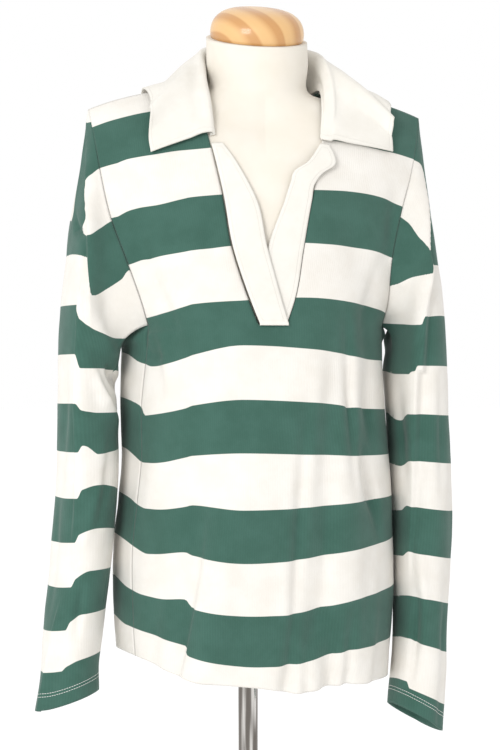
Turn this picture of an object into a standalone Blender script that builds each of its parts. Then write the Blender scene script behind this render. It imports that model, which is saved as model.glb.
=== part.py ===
"""Long-sleeved striped polo shirt on a dress form, as solids in metres.

The front faces -Y and +X is the viewer's right. The origin is on the floor, under the pole.
The shirt's panels are grids of points that share their seams. Each becomes a thin wall, thickened
inward along the normals of the whole shirt, and is then parted from its neighbours by a small gap.
"""

from collections import namedtuple
from math import cos, pi, radians, sin

import bpy
import numpy as np

# Cloth and seams
CLOTH = 0.0015
SEAM_GAP = 0.0003
WELD = 0.00002

# Levels of the cloth, measured at the middle of a panel
HEM = 0.825
UNDERARM = 1.213
NECK_LEVEL = 1.478
HEM_RISE_REACH = 0.28
MIDDLE_FADE = 0.1

# Grids: quads across and along each panel
SIDE_COLUMNS = 8
SLIT_COLUMNS = 2
NECK_COLUMNS = 8
LOWER_ROWS = 18
UPPER_ROWS = 12
SLEEVE_HEAD_ROWS = 9
SLEEVE_TUBE_ROWS = 14
COLLAR_STATIONS = 36
PLACKET_ROWS = 12
PLACKET_COLUMNS = 2

# Points read off the shoulders, by which the collar and the form keep clear of the cloth
SAMPLE_LEVEL = 1.28
SAMPLE_ROWS = 60
SAMPLE_COLUMNS = 91

# Dress form
POLE_RADIUS = 0.011
BASE_RADIUS = 0.165
BASE_HEIGHT = 0.012
BASE_EDGE = 0.003
FORM_SIDES = 24
FORM_RING_STEPS = 20
FORM_CLEARANCE = 0.0012
FORM_CLOTH_REACH = 0.020
SETTLE_ROUNDS = 4
NECK_TILT = radians(18)
NECK_TOP = (0.0, -0.050, 1.5277)
CAP_PROFILE = [(0.0500, 0.0000), (0.0515, 0.0030), (0.0515, 0.0110), (0.0490, 0.0195), (0.0425, 0.0270),
               (0.0320, 0.0320), (0.0170, 0.0342)]
CAP_HEIGHT = 0.0347
CAP_GAP = 0.00036
CAP_STEPS = 28
POLE_STEPS = 20
BASE_STEPS = 40

# Below the arms the shirt is an oval ring at each height. The side seams are angles from the middle
# of the front, towards the viewer's left and right.
Ring = namedtuple("Ring", "height x_mid half_width front_y back_y left_seam right_seam")
BODY_RINGS = [
    Ring(0.820, 0.0000, 0.1510, -0.1500, 0.0960, 66, 84),
    Ring(0.857, 0.0000, 0.1530, -0.1510, 0.0960, 66, 84),
    Ring(0.912, 0.0010, 0.1560, -0.1520, 0.0950, 66, 84),
    Ring(0.973, 0.0010, 0.1555, -0.1520, 0.0930, 66, 84),
    Ring(1.022, 0.0030, 0.1525, -0.1510, 0.0900, 66, 84),
    Ring(1.070, 0.0030, 0.1490, -0.1500, 0.0880, 65, 84),
    Ring(1.120, 0.0000, 0.1475, -0.1490, 0.0860, 64, 83),
    Ring(1.190, -0.0015, 0.1450, -0.1480, 0.0850, 60, 80),
    Ring(1.213, -0.0015, 0.1450, -0.1475, 0.0850, 59, 79),
]
HemRise = namedtuple("HemRise", "angle rise")
HEM_RISES = [
    HemRise(-180, 0.022), HemRise(-114, 0.034), HemRise(-66, 0.035), HemRise(-36, 0.016), HemRise(-3, 0.006),
    HemRise(10, 0.000), HemRise(22, 0.003), HemRise(84, 0.004), HemRise(130, 0.012), HemRise(180, 0.022),
]

# Middle of each panel above the arms, up to the line of the shoulder seams
Middle = namedtuple("Middle", "level y z")
FRONT_MIDDLE = [
    Middle(1.213, -0.1475, 1.213), Middle(1.260, -0.1380, 1.260), Middle(1.310, -0.1250, 1.310),
    Middle(1.360, -0.1130, 1.360), Middle(1.405, -0.1010, 1.405), Middle(1.440, -0.0860, 1.440),
    Middle(1.462, -0.0680, 1.465), Middle(1.478, -0.0450, 1.4785),
]
BACK_MIDDLE = [
    Middle(1.213, 0.0850, 1.213), Middle(1.270, 0.0870, 1.272), Middle(1.330, 0.0840, 1.335),
    Middle(1.380, 0.0740, 1.390), Middle(1.420, 0.0560, 1.436), Middle(1.448, 0.0290, 1.464),
    Middle(1.463, -0.0060, 1.4755), Middle(1.478, -0.0450, 1.4785),
]

# Armhole edges above the underarm, each ending at the shoulder tip. The wrap is how far the row of
# cloth turns from the middle of its panel to this edge, in degrees.
Edge = namedtuple("Edge", "x y z wrap")
SHOULDER_TIP_LEFT = Edge(-0.1850, -0.0470, 1.4470, 48)
SHOULDER_TIP_RIGHT = Edge(0.1850, -0.0470, 1.4470, 48)
ARMHOLE_LEFT_FRONT = [
    Edge(-0.1330, -0.0970, 1.2350, 58), Edge(-0.1480, -0.0950, 1.2780, 57), Edge(-0.1655, -0.0860, 1.3290, 56),
    Edge(-0.1765, -0.0750, 1.3850, 54), Edge(-0.1815, -0.0640, 1.4200, 51), SHOULDER_TIP_LEFT,
]
ARMHOLE_LEFT_BACK = [
    Edge(-0.1400, -0.0560, 1.2240, 101), Edge(-0.1465, -0.0170, 1.2360, 84), Edge(-0.1545, 0.0140, 1.2600, 72),
    Edge(-0.1630, 0.0280, 1.3000, 65), Edge(-0.1730, 0.0180, 1.3600, 58), Edge(-0.1810, -0.0100, 1.4180, 52),
    SHOULDER_TIP_LEFT,
]
ARMHOLE_RIGHT_FRONT = [
    Edge(0.1410, -0.0790, 1.2400, 70), Edge(0.1425, -0.0900, 1.2830, 64), Edge(0.1550, -0.0830, 1.3370, 58),
    Edge(0.1700, -0.0730, 1.3850, 54), Edge(0.1790, -0.0620, 1.4200, 51), SHOULDER_TIP_RIGHT,
]
ARMHOLE_RIGHT_BACK = [
    Edge(0.1445, -0.0290, 1.2230, 91), Edge(0.1490, -0.0040, 1.2350, 80), Edge(0.1545, 0.0170, 1.2600, 70),
    Edge(0.1620, 0.0280, 1.3000, 63), Edge(0.1725, 0.0180, 1.3600, 57), Edge(0.1805, -0.0100, 1.4180, 51),
    SHOULDER_TIP_RIGHT,
]

# How a sleeve leaves its armhole at the shoulder, at the front and back, and under the arm: sideways
# and up, as shares of the way to the ring under the armhole
Leave = namedtuple("Leave", "sideways up")
LEAVE_OVER = Leave(0.12, -1.0)
LEAVE_FACE = Leave(1.1, -0.1)
LEAVE_UNDER = Leave(1.1, -0.3)
FACE_SWELL = 0.15

# Neck: the slit widens from its foot to the shoulder seams, and the back neckline is a shallow curve
SlitEdge = namedtuple("SlitEdge", "level left right")
SLIT_EDGES = [
    SlitEdge(1.213, -0.0176, 0.0134), SlitEdge(1.240, -0.0275, 0.0235), SlitEdge(1.292, -0.0415, 0.0355),
    SlitEdge(1.350, -0.0490, 0.0485), SlitEdge(1.410, -0.0600, 0.0620), SlitEdge(1.478, -0.0720, 0.0740),
]
NECKLINE_LEVELS = [1.418, 1.450]
BACK_NECK_DROP = 0.030
COLLAR_SEAM_SHIFT = 0.0022
ROLL_HALF_WIDTH = 0.0032
ROLL_DROP = 0.0025
STAND_COLUMNS = 3
FALL_SHARES = (0.0, 0.3, 0.6, 0.85, 1.0)

# Sleeve rings below the armholes, from the ring under the armhole down to the cuff. The slopes are
# the fall of the ring from its inner to its outer side, and from its front to its back.
SleeveRing = namedtuple("SleeveRing", "height inner outer y_mid half_depth outer_drop back_drop")
SLEEVE_LEFT_RINGS = [
    SleeveRing(1.165, 0.1570, 0.2165, -0.041, 0.058, 0.000, 0.000),
    SleeveRing(1.068, 0.1520, 0.2180, -0.043, 0.055, 0.004, 0.000),
    SleeveRing(0.968, 0.1590, 0.2257, -0.046, 0.050, 0.006, 0.002),
    SleeveRing(0.884, 0.1700, 0.2346, -0.049, 0.045, 0.010, 0.004),
    SleeveRing(0.852, 0.1740, 0.2370, -0.050, 0.042, 0.014, 0.004),
    SleeveRing(0.824, 0.1740, 0.2430, -0.051, 0.039, 0.022, 0.004),
]
SLEEVE_RIGHT_RINGS = [
    SleeveRing(1.165, 0.1530, 0.2195, -0.041, 0.058, 0.000, 0.000),
    SleeveRing(1.068, 0.1570, 0.2223, -0.043, 0.055, 0.004, 0.000),
    SleeveRing(0.968, 0.1610, 0.2225, -0.046, 0.050, 0.008, 0.003),
    SleeveRing(0.884, 0.1610, 0.2178, -0.049, 0.045, 0.016, 0.006),
    SleeveRing(0.852, 0.1590, 0.2178, -0.050, 0.042, 0.022, 0.008),
    SleeveRing(0.801, 0.1530, 0.2135, -0.051, 0.039, 0.034, 0.009),
]
LEFT_LOOP_SHIFT = 0.058
RIGHT_LOOP_SHIFT = 0.026

# Collar stations, from the viewer's left end round the back to the right end: the point of the
# neckline, the top of the roll, and the outer edge given by its x and its level on the panel below
Station = namedtuple("Station", "roll_x roll_y roll_z outer_x outer_level fall_bulge lift")
COLLAR = [
    Station(-0.0585, -0.0975, 1.4190, -0.1225, 1.403, 0.000, 0.0050),
    Station(-0.0605, -0.0850, 1.4540, -0.1240, 1.422, 0.003, 0.0060),
    Station(-0.0600, -0.0520, 1.4930, -0.1190, 1.452, 0.007, 0.0090),
    Station(-0.0520, -0.0100, 1.5230, -0.1000, -1.440, 0.008, 0.0090),
    Station(0.0060, 0.0270, 1.5320, 0.0050, -1.425, 0.006, 0.0060),
    Station(0.0660, -0.0100, 1.5250, 0.1200, -1.440, 0.007, 0.0090),
    Station(0.0785, -0.0500, 1.5020, 0.1410, 1.452, 0.007, 0.0120),
    Station(0.0800, -0.0790, 1.4560, 0.1430, 1.432, 0.004, 0.0060),
    Station(0.0720, -0.0990, 1.4120, 0.1430, 1.417, 0.000, 0.0050),
]

# Placket strips, row by row from the foot of the slit: the width of the strip, how far its outer edge
# is turned out over the front, and how far it is lifted off the line of the front
Strip = namedtuple("Strip", "level width turned_out lift")
PLACKET_RIGHT = [
    Strip(1.2070, 0.0310, 0.0000, 0.0042), Strip(1.2400, 0.0340, 0.0000, 0.0040),
    Strip(1.2920, 0.0365, 0.0000, 0.0038), Strip(1.3460, 0.0344, 0.0000, 0.0030),
    Strip(1.3640, 0.0295, 0.0000, 0.0030), Strip(1.4020, 0.0155, 0.0000, 0.0020),
    Strip(1.4090, 0.0120, 0.0000, 0.0015),
]
PLACKET_LEFT = [
    Strip(1.2150, 0.0278, 0.0000, 0.0002), Strip(1.2400, 0.0320, 0.0000, 0.0002),
    Strip(1.2920, 0.0390, 0.0000, 0.0004), Strip(1.3480, 0.0298, 0.0000, 0.0014),
    Strip(1.3660, 0.0275, 0.0000, 0.0034), Strip(1.3780, 0.0320, 0.0065, 0.0050),
    Strip(1.3870, 0.0315, 0.0170, 0.0056), Strip(1.4000, 0.0210, 0.0142, 0.0056),
    Strip(1.4100, 0.0090, 0.0067, 0.0050),
]
PLACKET_GAP = 0.0006

# Rings of the padded torso, from its foot to the neck. The sides of a ring stand higher than its front.
FormRing = namedtuple("FormRing", "height side_rise x_mid half_width y_mid front_depth back_depth")
FORM_RINGS = [
    FormRing(0.888, 0.000, 0.000, 0.136, -0.028, 0.096, 0.100),
    FormRing(0.896, 0.000, 0.000, 0.140, -0.028, 0.099, 0.103),
    FormRing(0.950, 0.000, 0.000, 0.141, -0.028, 0.100, 0.104),
    FormRing(1.030, 0.000, 0.000, 0.122, -0.028, 0.088, 0.086),
    FormRing(1.080, 0.000, 0.000, 0.111, -0.028, 0.082, 0.076),
    FormRing(1.150, 0.000, 0.000, 0.122, -0.028, 0.097, 0.085),
    FormRing(1.230, 0.000, 0.000, 0.133, -0.029, 0.108, 0.094),
    FormRing(1.300, 0.010, 0.000, 0.138, -0.030, 0.094, 0.098),
    FormRing(1.360, 0.050, 0.000, 0.148, -0.031, 0.080, 0.090),
    FormRing(1.400, 0.048, 0.000, 0.145, -0.032, 0.069, 0.074),
    FormRing(1.428, 0.036, 0.002, 0.120, -0.032, 0.057, 0.054),
    FormRing(1.446, 0.018, 0.003, 0.078, -0.032, 0.049, 0.044),
    FormRing(1.464, 0.006, 0.003, 0.0590, -0.033, 0.050, 0.041),
    FormRing(1.482, 0.003, 0.0030, 0.0565, -0.037, 0.053, 0.046),
    FormRing(1.500, 0.000, 0.002, 0.0560, -0.042, 0.055, 0.053),
]
NECK_RADIUS = 0.0555

# Large folds: a line on the panel from its top to its foot, how wide it is, and how far the cloth
# stands out (or, below zero, sinks in)
FOLD_SEAM_FADE = 0.2
FOLD_TOP = 1.40
FOLD_TOP_FADE = 0.1
Fold = namedtuple("Fold", "x_top z_top x_foot z_foot width height")
FRONT_FOLDS = [
    Fold(-0.060, 1.235, -0.075, 1.180, 0.045, 0.006),
    Fold(0.075, 1.235, 0.085, 1.180, 0.040, 0.006),
    Fold(0.066, 1.175, 0.040, 0.880, 0.014, -0.0050),
    Fold(0.046, 1.150, 0.014, 0.860, 0.016, 0.0035),
    Fold(0.108, 1.225, 0.115, 1.030, 0.014, -0.0050),
    Fold(0.085, 1.120, 0.088, 0.850, 0.018, 0.0050),
    Fold(0.052, 0.900, 0.064, 0.822, 0.014, -0.0060),
    Fold(-0.046, 1.020, -0.066, 0.840, 0.018, 0.0055),
    Fold(-0.080, 1.010, -0.098, 0.840, 0.015, -0.0045),
]
BACK_FOLDS = [
    Fold(-0.020, 1.300, -0.045, 0.860, 0.016, 0.0060),
    Fold(0.045, 1.150, 0.065, 0.840, 0.014, -0.0060),
    Fold(-0.085, 1.120, -0.100, 0.850, 0.013, -0.0050),
    Fold(0.095, 1.280, 0.115, 0.950, 0.016, 0.0050),
    Fold(-0.120, 1.300, -0.060, 1.200, 0.014, -0.0040),
    Fold(0.125, 1.300, 0.070, 1.190, 0.014, -0.0040),
    Fold(0.010, 0.960, 0.020, 0.825, 0.018, 0.0060),
]

CREAM = (0.93, 0.90, 0.82, 1)
WOOD = (0.78, 0.55, 0.30, 1)
CHROME = (0.70, 0.68, 0.65, 1)
WHITE = (0.86, 0.86, 0.84, 1)
GREEN = (0.10, 0.20, 0.17, 1)
STEEL = (0.55, 0.54, 0.52, 1)


def smooth(knots, values, at):
    """Values on a smooth curve through the knots, for numbers or rows of numbers."""
    knots = np.asarray(knots, float)
    values = np.asarray(values, float)
    at = np.clip(np.asarray(at, float), knots[0], knots[-1])
    wide = (slice(None),) + (None,) * (values.ndim - 1)
    steps = np.diff(knots)[wide]
    slopes = np.diff(values, axis=0) / steps
    inner = (slopes[:-1] * steps[1:] + slopes[1:] * steps[:-1]) / (steps[1:] + steps[:-1])
    tangents = np.concatenate([slopes[:1], inner, slopes[-1:]])
    index = np.clip(np.searchsorted(knots, at, side="right") - 1, 0, len(knots) - 2)
    step = steps[index]
    t = (at - knots[index]).reshape(at.shape + (1,) * (values.ndim - 1)) / step.reshape(
        at.shape + (1,) * (values.ndim - 1))
    step = step.reshape(t.shape)
    low = (2 * t**3 - 3 * t**2 + 1) * values[index] + (t**3 - 2 * t**2 + t) * step * tangents[index]
    high = (3 * t**2 - 2 * t**3) * values[index + 1] + (t**3 - t**2) * step * tangents[index + 1]
    return low + high


def read(table, key, name, at):
    """One named column of a table, read at a value of its key column."""
    return smooth([getattr(row, key) for row in table], [getattr(row, name) for row in table], at)


def lengths_along(points):
    """Distance along a line of points, from 0 at the first."""
    return np.concatenate([[0], np.cumsum(np.linalg.norm(np.diff(points, axis=0), axis=1))])


def unit(vectors):
    """Vectors of length 1."""
    return vectors / np.maximum(np.linalg.norm(vectors, axis=-1, keepdims=True), 1e-12)


def hem_rise(angle, level):
    """How much higher than its level the cloth lies, near the hem."""
    share = np.clip(1 - (level - HEM) / HEM_RISE_REACH, 0, 1)
    return read(HEM_RISES, "angle", "rise", angle) * share**2


def ring_edge(level, angle):
    """The x and y of a point of the body ring, by its angle from the middle of the front."""
    front = read(BODY_RINGS, "height", "front_y", level)
    back = read(BODY_RINGS, "height", "back_y", level)
    half_width = read(BODY_RINGS, "height", "half_width", level)
    turn = np.radians(angle)
    x = read(BODY_RINGS, "height", "x_mid", level) + half_width * np.sin(turn)
    y = (front + back) / 2 - (back - front) / 2 * np.cos(turn)
    return x, y


def panel_edge(level, seam_angle, from_back, armhole):
    """The edge of a panel at a level: x, y, z and wrap."""
    foot_angle = float(seam_angle(UNDERARM))
    foot_x, foot_y = ring_edge(UNDERARM, foot_angle)
    foot_wrap = 180 - abs(foot_angle) if from_back else abs(foot_angle)
    places = np.array([(foot_x, foot_y, UNDERARM, foot_wrap)] + [tuple(edge) for edge in armhole])
    share = lengths_along(places[:, :3])
    above = smooth(share / share[-1], places, (level - UNDERARM) / (NECK_LEVEL - UNDERARM))
    angle = seam_angle(level)
    x, y = ring_edge(level, angle)
    wrap = 180 - np.abs(angle) if from_back else np.abs(angle)
    below = np.stack([x, y, level, wrap], axis=-1)
    return np.where((level < UNDERARM)[..., None], below, above)


def left_seam(level):
    return -read(BODY_RINGS, "height", "left_seam", level)


def right_seam(level):
    return read(BODY_RINGS, "height", "right_seam", level)


def fold_height(folds, x, z):
    """How far the folds of a panel lift the cloth at x and z."""
    total = np.zeros_like(x)
    for fold in folds:
        start = np.array([fold.x_top, fold.z_top])
        line = np.array([fold.x_foot, fold.z_foot]) - start
        away = np.stack([x, z], axis=-1) - start
        share = np.clip((away @ line) / (line @ line), 0, 1)
        distance = np.linalg.norm(away - share[..., None] * line, axis=-1)
        total += fold.height * np.exp(-(distance / fold.width) ** 2)
    return total


def panel(s, level, from_back=False):
    """Points of the front, or of the back, at s from -1 to 1 across and at a level of the cloth."""
    s, level = np.broadcast_arrays(np.asarray(s, float), np.asarray(level, float))
    left_armhole = ARMHOLE_LEFT_BACK if from_back else ARMHOLE_LEFT_FRONT
    right_armhole = ARMHOLE_RIGHT_BACK if from_back else ARMHOLE_RIGHT_FRONT
    left = panel_edge(level, left_seam, from_back, left_armhole)
    right = panel_edge(level, right_seam, from_back, right_armhole)
    edge = np.where((s < 0)[..., None], left, right)
    middle = BACK_MIDDLE if from_back else FRONT_MIDDLE
    ring_y = "back_y" if from_back else "front_y"
    lower = level < UNDERARM
    x_mid = np.where(lower, read(BODY_RINGS, "height", "x_mid", level),
                     BODY_RINGS[-1].x_mid * np.clip(1 - (level - UNDERARM) / MIDDLE_FADE, 0, 1))
    y_mid = np.where(lower, read(BODY_RINGS, "height", ring_y, level), read(middle, "level", "y", level))
    z_mid = np.where(lower, level, read(middle, "level", "z", level))
    wrap = np.radians(edge[..., 3])
    turn = np.abs(s) * wrap
    x = x_mid + (edge[..., 0] - x_mid) * np.sin(turn) / np.sin(wrap)
    y = y_mid + (edge[..., 1] - y_mid) * (1 - np.cos(turn)) / (1 - np.cos(wrap))
    z = z_mid + (edge[..., 2] - z_mid) * s**2
    angle = np.sign(s) * np.degrees(turn)
    if from_back:
        angle = np.sign(s) * 180 - angle
    folds = BACK_FOLDS if from_back else FRONT_FOLDS
    seam_fade = np.clip((1 - np.abs(s)) / FOLD_SEAM_FADE, 0, 1)
    height = fold_height(folds, x, z) * seam_fade * np.clip((FOLD_TOP - level) / FOLD_TOP_FADE, 0, 1)
    outward = np.stack([np.sin(turn) * np.sign(s), np.cos(turn) * (1 if from_back else -1)], axis=-1)
    x = x + height * outward[..., 0]
    y = y + height * outward[..., 1]
    return np.stack([x, y, z + hem_rise(angle, level)], axis=-1)


def across_at(x, level, from_back=False):
    """The s of a panel at which its cloth has the given x."""
    x, level = np.broadcast_arrays(np.asarray(x, float), np.asarray(level, float))
    low = np.full(x.shape, -1.0)
    high = np.full(x.shape, 1.0)
    for _ in range(30):
        middle = (low + high) / 2
        beyond = panel(middle, level, from_back)[..., 0] > x
        high = np.where(beyond, middle, high)
        low = np.where(beyond, low, middle)
    return (low + high) / 2


def panel_normal(s, level, from_back=False):
    """The outward direction of a panel."""
    step = 0.01
    right = panel(np.minimum(s + step, 1), level, from_back)
    across = right - panel(np.maximum(s - step, -1), level, from_back)
    rise = 0.002
    up = panel(s, level + rise, from_back) - panel(s, level - rise, from_back)
    normal = unit(np.cross(across, up))
    return -normal if from_back else normal


def levels():
    """Levels of the rows of the body, from the hem to the shoulder seams."""
    lower = np.linspace(HEM, UNDERARM, LOWER_ROWS + 1)
    upper = np.linspace(UNDERARM, NECK_LEVEL, UPPER_ROWS + 1)[1:]
    return lower, upper


def quads_of(rows, columns, offset=0):
    """Quads of a grid of points laid row by row."""
    return [(offset + r * columns + c, offset + r * columns + c + 1,
             offset + (r + 1) * columns + c + 1, offset + (r + 1) * columns + c)
            for r in range(rows - 1) for c in range(columns - 1)]


def front_grids():
    """Three grids of the front: below the slit, and each side of it."""
    lower, upper = levels()
    slit_left = across_at(read(SLIT_EDGES, "level", "left", UNDERARM), UNDERARM)
    slit_right = across_at(read(SLIT_EDGES, "level", "right", UNDERARM), UNDERARM)
    left = np.linspace(-1, slit_left, SIDE_COLUMNS + 1)
    right = np.linspace(slit_right, 1, SIDE_COLUMNS + 1)
    middle = np.linspace(slit_left, slit_right, SLIT_COLUMNS + 1)
    base = np.concatenate([left, middle[1:-1], right])
    grids = [panel(base[None, :], lower[:, None])]
    rows = np.concatenate([lower[-1:], upper])
    share = np.linspace(0, 1, SIDE_COLUMNS + 1)[None, :]
    edge = across_at(read(SLIT_EDGES, "level", "left", rows), rows)[:, None]
    grids.append(panel(-1 + share * (edge + 1), rows[:, None]))
    edge = across_at(read(SLIT_EDGES, "level", "right", rows), rows)[:, None]
    grids.append(panel(edge + share * (1 - edge), rows[:, None]))
    return grids


def back_grids():
    """One grid of the back, whose middle columns end at the neckline."""
    lower, upper = levels()
    neck_left = float(across_at(SLIT_EDGES[-1].left, NECK_LEVEL, True))
    neck_right = float(across_at(SLIT_EDGES[-1].right, NECK_LEVEL, True))
    along_neck = (np.sin(np.linspace(-pi / 2, pi / 2, NECK_COLUMNS + 1)) + 1) / 2
    columns = np.concatenate([np.linspace(-1, neck_left, SIDE_COLUMNS + 1),
                              neck_left + (neck_right - neck_left) * along_neck[1:-1],
                              np.linspace(neck_right, 1, SIDE_COLUMNS + 1)])
    rows = np.concatenate([lower, upper])[:, None]
    drop = neck_drop(panel(columns, NECK_LEVEL, True)[:, 0])
    share = np.clip((rows - UNDERARM) / (NECK_LEVEL - UNDERARM), 0, 1)
    return [panel(columns[None, ::-1], rows - drop[None, ::-1] * share**3, True)]


def armhole_loop(side):
    """Points of an armhole, from the underarm up the front to the tip and down the back."""
    lower, upper = levels()
    rows = np.concatenate([lower[-1:], upper])
    front = panel(np.full(len(rows), side), rows)
    back = panel(np.full(len(rows), side), rows, True)
    return front, np.concatenate([front, back[-2:0:-1]])


def sleeve_ring(rings, side, height, turn):
    """Points of a sleeve ring. The turn starts at the side by the body and goes by the front."""
    inner = read(rings[::-1], "height", "inner", height)
    outer = read(rings[::-1], "height", "outer", height)
    x = side * ((inner + outer) / 2 - (outer - inner) / 2 * np.cos(turn))
    half_depth = read(rings[::-1], "height", "half_depth", height)
    y = read(rings[::-1], "height", "y_mid", height) - half_depth * np.sin(turn)
    fall = read(rings[::-1], "height", "outer_drop", height) * (0.5 - 0.5 * np.cos(turn))
    fall = fall + read(rings[::-1], "height", "back_drop", height) * (0.5 - 0.5 * np.sin(turn))
    return np.stack([x, y, height - fall], axis=-1)


def sleeve_grid(side):
    """One grid of a sleeve, from the armhole to the cuff, closed round."""
    rings = SLEEVE_LEFT_RINGS if side < 0 else SLEEVE_RIGHT_RINGS
    shift = LEFT_LOOP_SHIFT if side < 0 else RIGHT_LOOP_SHIFT
    front, loop = armhole_loop(side)
    closed = np.concatenate([loop, loop[:1]])
    distance = lengths_along(closed)
    total = distance[-1]
    tip = distance[len(front) - 1]
    place = np.where(distance[:-1] > total - shift, distance[:-1] - total, distance[:-1])
    turn = np.where(place <= tip, pi * (place + shift) / (tip + shift),
                    pi + pi * (place - tip) / (total - shift - tip))
    top_ring = sleeve_ring(rings, side, np.full(len(turn), rings[0].height), turn)
    reach = np.linalg.norm(top_ring - loop, axis=1, keepdims=True)
    under = (0.5 + 0.5 * np.cos(turn))[:, None] ** 2
    over = (0.5 - 0.5 * np.cos(turn))[:, None] ** 2
    face = 1 - under - over
    sideways = LEAVE_OVER.sideways * over + LEAVE_FACE.sideways * face + LEAVE_UNDER.sideways * under
    up = LEAVE_OVER.up * over + LEAVE_FACE.up * face + LEAVE_UNDER.up * under
    swell = -FACE_SWELL * np.sin(turn)[:, None] * face
    leave = np.concatenate([side * sideways, swell, up], axis=1) * reach
    arrive = np.concatenate([np.zeros_like(reach), np.zeros_like(reach), -reach], axis=1)
    rows = []
    for t in np.linspace(0, 1, SLEEVE_HEAD_ROWS + 1):
        rows.append((2 * t**3 - 3 * t**2 + 1) * loop + (t**3 - 2 * t**2 + t) * leave
                    + (3 * t**2 - 2 * t**3) * top_ring + (t**3 - t**2) * arrive)
    for height in np.linspace(rings[0].height, rings[-1].height, SLEEVE_TUBE_ROWS + 1)[1:]:
        rows.append(sleeve_ring(rings, side, np.full(len(turn), height), turn))
    grid = np.array(rows)
    grid = np.concatenate([grid, grid[:, :1]], axis=1)
    return grid if side < 0 else grid[:, ::-1]


def sew(panels):
    """All panels welded into one surface: its points, and the normals and quads of each panel."""
    points, index_of, faces, normals = [], {}, {}, {}
    for name, grids in panels.items():
        faces[name] = []
        for grid in grids:
            rows, columns = grid.shape[:2]
            index = []
            for point in grid.reshape(-1, 3):
                key = tuple(np.round(point / WELD).astype(int))
                if key not in index_of:
                    index_of[key] = len(points)
                    points.append(point)
                index.append(index_of[key])
            faces[name] += [tuple(index[i] for i in quad) for quad in quads_of(rows, columns)]
    points = np.array(points)
    for name, quads in faces.items():
        normals[name] = np.zeros_like(points)
        for quad in quads:
            a, b, c, d = points[list(quad)]
            normals[name][list(quad)] += np.cross(c - a, d - b)
        normals[name] = unit(normals[name])
    return points, normals, faces


def part_from_neighbours(points, normals, faces, name):
    """The points and normals of one panel, with its seams drawn back from the other panels.

    On a ridge the panels share their normals, so their walls meet in a mitre. In a valley, as under an
    arm, each panel keeps its own.
    """
    others = {i for other, quads in faces.items() if other != name for quad in quads for i in quad}
    own = {i for quad in faces[name] for i in quad}
    seam = own & others
    moved = points.copy()
    shared = unit(sum(normals.values()))
    outward = normals[name].copy()
    for i in seam:
        near = {j for quad in faces[name] if i in quad for j in quad} - seam
        if not near:
            near = {j for quad in faces[name] if i in quad for j in quad} - {i}
        pull = np.mean([points[j] for j in near], axis=0) - points[i]
        if pull @ shared[i] <= 0:
            outward[i] = shared[i]
        pull -= outward[i] * (pull @ outward[i])
        moved[i] = points[i] + unit(pull) * SEAM_GAP
    return moved, outward


def add_object(name, vertices, faces, color, roughness=0.9, metallic=0.0):
    """A mesh object with its own material, in the collection of the object."""
    mesh = bpy.data.meshes.new(name)
    mesh.from_pydata([tuple(map(float, v)) for v in vertices], [], faces)
    mesh.validate()
    thing = bpy.data.objects.new(name, mesh)
    finish(thing, color, roughness, metallic)
    return thing


def finish(thing, color, roughness, metallic):
    """Gives an object its material and places it in the collection of the object."""
    material = bpy.data.materials.new(thing.name)
    material.use_nodes = True
    shader = material.node_tree.nodes["Principled BSDF"]
    shader.inputs["Base Color"].default_value = color
    shader.inputs["Roughness"].default_value = roughness
    shader.inputs["Metallic"].default_value = metallic
    thing.data.materials.clear()
    thing.data.materials.append(material)
    for owner in list(thing.users_collection):
        owner.objects.unlink(thing)
    collection.objects.link(thing)


def add_wall(name, points, normals, quads, color):
    """A closed wall of cloth: the outer points, the inner points and the rim between them."""
    used = sorted({i for quad in quads for i in quad})
    place = {i: n for n, i in enumerate(used)}
    count = len(used)
    outer = points[used]
    vertices = np.concatenate([outer, outer - normals[used] * CLOTH])
    faces = []
    sides = set()
    for quad in quads:
        a, b, c, d = (place[i] for i in quad)
        across = np.linalg.norm(outer[a] - outer[c]) < np.linalg.norm(outer[b] - outer[d])
        for triangle in ((a, b, c), (a, c, d)) if across else ((a, b, d), (b, c, d)):
            if len(set(triangle)) < 3:
                continue
            faces.append(triangle)
            faces.append(tuple(v + count for v in reversed(triangle)))
            sides.update(zip(triangle, triangle[1:] + triangle[:1]))
    for a, b in sorted(sides):
        if (b, a) not in sides:
            faces.append((b, a, a + count, b + count))
    return add_object(name, vertices, faces, color)


def add_shirt():
    """The front, the back and the two sleeves."""
    panels = {"front": front_grids(), "back": back_grids(),
              "sleeve_right": [sleeve_grid(-1.0)], "sleeve_left": [sleeve_grid(1.0)]}
    points, normals, faces = sew(panels)
    colors = {"front": WHITE, "back": WHITE, "sleeve_right": GREEN, "sleeve_left": GREEN}
    for name, quads in faces.items():
        moved, outward = part_from_neighbours(points, normals, faces, name)
        add_wall(name, moved, outward, quads, colors[name])


def neckline_point(share):
    """A point of the neckline, from the front at the viewer's left round the back to the right."""
    places = []
    for level in NECKLINE_LEVELS:
        places.append(panel(across_at(read(SLIT_EDGES, "level", "left", level), level), level))
    for x in np.linspace(SLIT_EDGES[-1].left, SLIT_EDGES[-1].right, NECK_COLUMNS + 1):
        level = NECK_LEVEL - neck_drop(x)
        places.append(panel(across_at(x, level, True), level, True))
    for level in reversed(NECKLINE_LEVELS):
        places.append(panel(across_at(read(SLIT_EDGES, "level", "right", level), level), level))
    places = np.array(places)
    distance = lengths_along(places)
    return smooth(distance / distance[-1], places, share)


def collar_outer(station):
    """The outer edge of the collar at a station, made from the panel that it lies on."""
    from_back = station.outer_level < 0
    level = np.array(abs(station.outer_level))
    s = across_at(station.outer_x, level, from_back)
    return panel(s, level, from_back) + panel_normal(s, level, from_back) * station.lift


def neck_drop(x):
    """How far the back neckline lies below the line of the shoulder seams, in levels."""
    middle = (SLIT_EDGES[-1].left + SLIT_EDGES[-1].right) / 2
    half_width = (SLIT_EDGES[-1].right - SLIT_EDGES[-1].left) / 2
    return BACK_NECK_DROP * np.sqrt(np.clip(1 - ((x - middle) / half_width) ** 2, 0, 1))


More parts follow.
